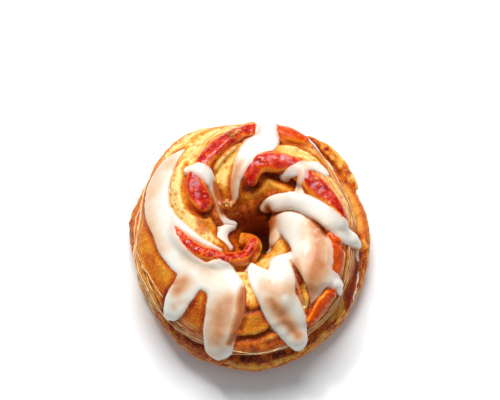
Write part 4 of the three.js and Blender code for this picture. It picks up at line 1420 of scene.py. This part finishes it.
icingFinish = {
    "broad": (14.0, 2, 0.55, 0.45),
    "mottle": (3.2, 3, 0.6, 0.30),
    "edge": 0.50,  # how far the dough shows at the very edge
    "sheerness": [(0.04, (239, 229, 215)), (0.22, (234, 212, 190)), (0.46, (226, 182, 144)),
                  (0.70, (204, 132, 82)), (0.98, (172, 84, 28))],
    "pink": (0.45, (232, 150, 128)),
    "ripple": 5.0,
    "roughness": (0.26, 0.14),
    "shader": {"Subsurface Weight": 0.22, "Subsurface Scale": 0.002, "Subsurface Radius": (1.0, 0.75, 0.5),
               "Specular IOR Level": 0.3, "Coat Weight": 0.12, "Coat Roughness": 0.12},
}


def icingMaterial():
    finish = icingFinish
    material, nodes = newMaterial("sugar_icing")
    coords = nodes.objectCoords()
    rim = nodes.mapped(nodes.mask("cover"), 0.0, 0.20, finish["edge"], 0.0)
    shown = nodes.plus(nodes.mask("sheer"), rim)
    level, _, _ = mottled(nodes, coords, shown, finish["broad"], finish["mottle"])
    strength, pink = finish["pink"]
    colour = nodes.ramp(level, finish["sheerness"])
    colour = nodes.mix(nodes.times(nodes.mask("pink"), strength), colour, linear(pink))
    ripple = nodes.noise(coords, perMm(finish["ripple"]), 2)
    nodes.shader({**finish["shader"], "Base Color": colour, "Normal": nodes.bumps([(ripple, 0.12, 0.3)]),
                  "Roughness": nodes.rough(ripple, finish["roughness"])})
    return material


def dress(piece, material, slotName, *nodesReplaced):
    piece.data.materials.clear()
    piece.data.materials.append(material)
    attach(piece, "root")
    if nodesReplaced:
        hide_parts(*nodesReplaced)


print("materials")
doughLook = doughMaterial()
flakeLook = flakeMaterial()
deepJam, thinJam, syrupLook = [jamMaterial(*jamKinds[kind]) for kind in ("deep", "thin", "syrup")]
icingLook = icingMaterial()
dress(doughPiece, doughLook, "dough", "dough")

print("jam")
trees = [doughTree]
for name, jam in jams.items():
    piece = makeJam("red_" + name, jam, name in thinJams)
    dress(piece, thinJam if name in thinJams else deepJam, "jam", name)
    trees.append(treeOf(piece))

print("icing")
for name, strokes in icings.items():
    piece = makeIcing("sugar_" + name, strokes, trees)
    dress(piece, icingLook, "icing", name)
for name, strokes in thinRuns.items():
    meet = fromAbove if name == "icing_in_gap" else onSurface
    dress(makeIcing(name, strokes, trees[:1], 0.4, meet), icingLook, "icing")
dress(makeJam("syrup_run", syrupRun, True), syrupLook, "jam")
bpy.data.objects.remove(skin)

print("flakes and crumbs")
dress(makeFlakes(), flakeLook, "dough")
dress(makeCrumbs(), flakeLook, "dough")


# floor, light and camera
studio = {
    "floorSize": 3.0,
    "floorColour": (252, 252, 252),
    "floorInHole": (184, 120, 56),  # painted shade and painted brown bounce light from the wall of the hole, on the floor under it
    "holeReach": (0.016, 0.012),
    "world": 0.34,
    "worldColour": (234, 246, 255),
    "keyPower": 11.8,
    "keySize": 0.6,
    "keyPlace": (-0.03, 0.56, 0.95),
    "sparklePower": 2.6,
    "sparkleSize": 0.12,
    "sparklePlace": (-0.30, 0.52, 0.95),
}
camera = {
    "elevation": 70,
    "lens": 100,
    "sensor": 36,
    "width": 500,
    "height": 400,
    "pixelsPerMm": 2.19,
    "middlePixel": (249.0, 237.0),
    "pivot": (-0.13, 0.41, 20),
}


def areaLight(name, power, size, place, target=(0, 0, 0.02)):
    light = bpy.data.lights.new(name, "AREA")
    light.shape = "DISK"
    light.energy = power
    light.size = size
    lamp = bpy.data.objects.new(name, light)
    lamp.location = place
    lamp.rotation_euler = (Vector(target) - Vector(place)).to_track_quat("-Z", "Y").to_euler()
    bpy.context.scene.collection.objects.link(lamp)


def makeStudio():
    bm = bmesh.new()
    bmesh.ops.create_grid(bm, x_segments=1, y_segments=1, size=studio["floorSize"] / 2)
    floor = addObject("floor", bm)
    material, nodes = newMaterial("white_floor")
    reach = nodes.add("ShaderNodeVectorMath", operation="LENGTH")
    nodes.link(nodes.objectCoords(), reach.inputs[0])
    inHole = nodes.mapped(reach.outputs["Value"], *studio["holeReach"])
    colour = nodes.mix(inHole, linear(studio["floorColour"]), linear(studio["floorInHole"]))
    nodes.shader({"Roughness": 0.9, "Specular IOR Level": 0.1, "Base Color": colour})
    floor.data.materials.append(material)
    areaLight("key", studio["keyPower"], studio["keySize"], studio["keyPlace"])
    areaLight("sparkle", studio["sparklePower"], studio["sparkleSize"], studio["sparklePlace"])
    world = bpy.data.worlds.new("studio")
    world.use_nodes = True
    sky = world.node_tree.nodes["Background"]
    sky.inputs["Color"].default_value = linear(studio["worldColour"])
    sky.inputs["Strength"].default_value = studio["world"]
    bpy.context.scene.world = world
    bpy.context.scene.view_settings.view_transform = "Standard"


def makeCamera():
    lean = math.radians(camera["elevation"])
    back = Vector((0, -math.cos(lean), math.sin(lean)))
    up = Vector((0, math.sin(lean), math.cos(lean)))
    distance = camera["lens"] / camera["sensor"] * camera["width"] / camera["pixelsPerMm"]
    right = (camera["middlePixel"][0] - camera["width"] / 2) / camera["pixelsPerMm"]
    rise = (camera["height"] / 2 - camera["middlePixel"][1]) / camera["pixelsPerMm"]
    place = Vector(camera["pivot"]) + back * distance - Vector((right, 0, 0)) - up * rise
    lens = bpy.data.cameras.new("camera")
    lens.lens = camera["lens"]
    lens.sensor_width = camera["sensor"]
    lens.clip_start = 0.01
    eye = bpy.data.objects.new("camera", lens)
    eye.location = place * mm
    eye.rotation_euler = (math.pi / 2 - lean, 0, 0)
    bpy.context.scene.collection.objects.link(eye)
    bpy.context.scene.camera = eye


print("studio")
makeStudio()
makeCamera()
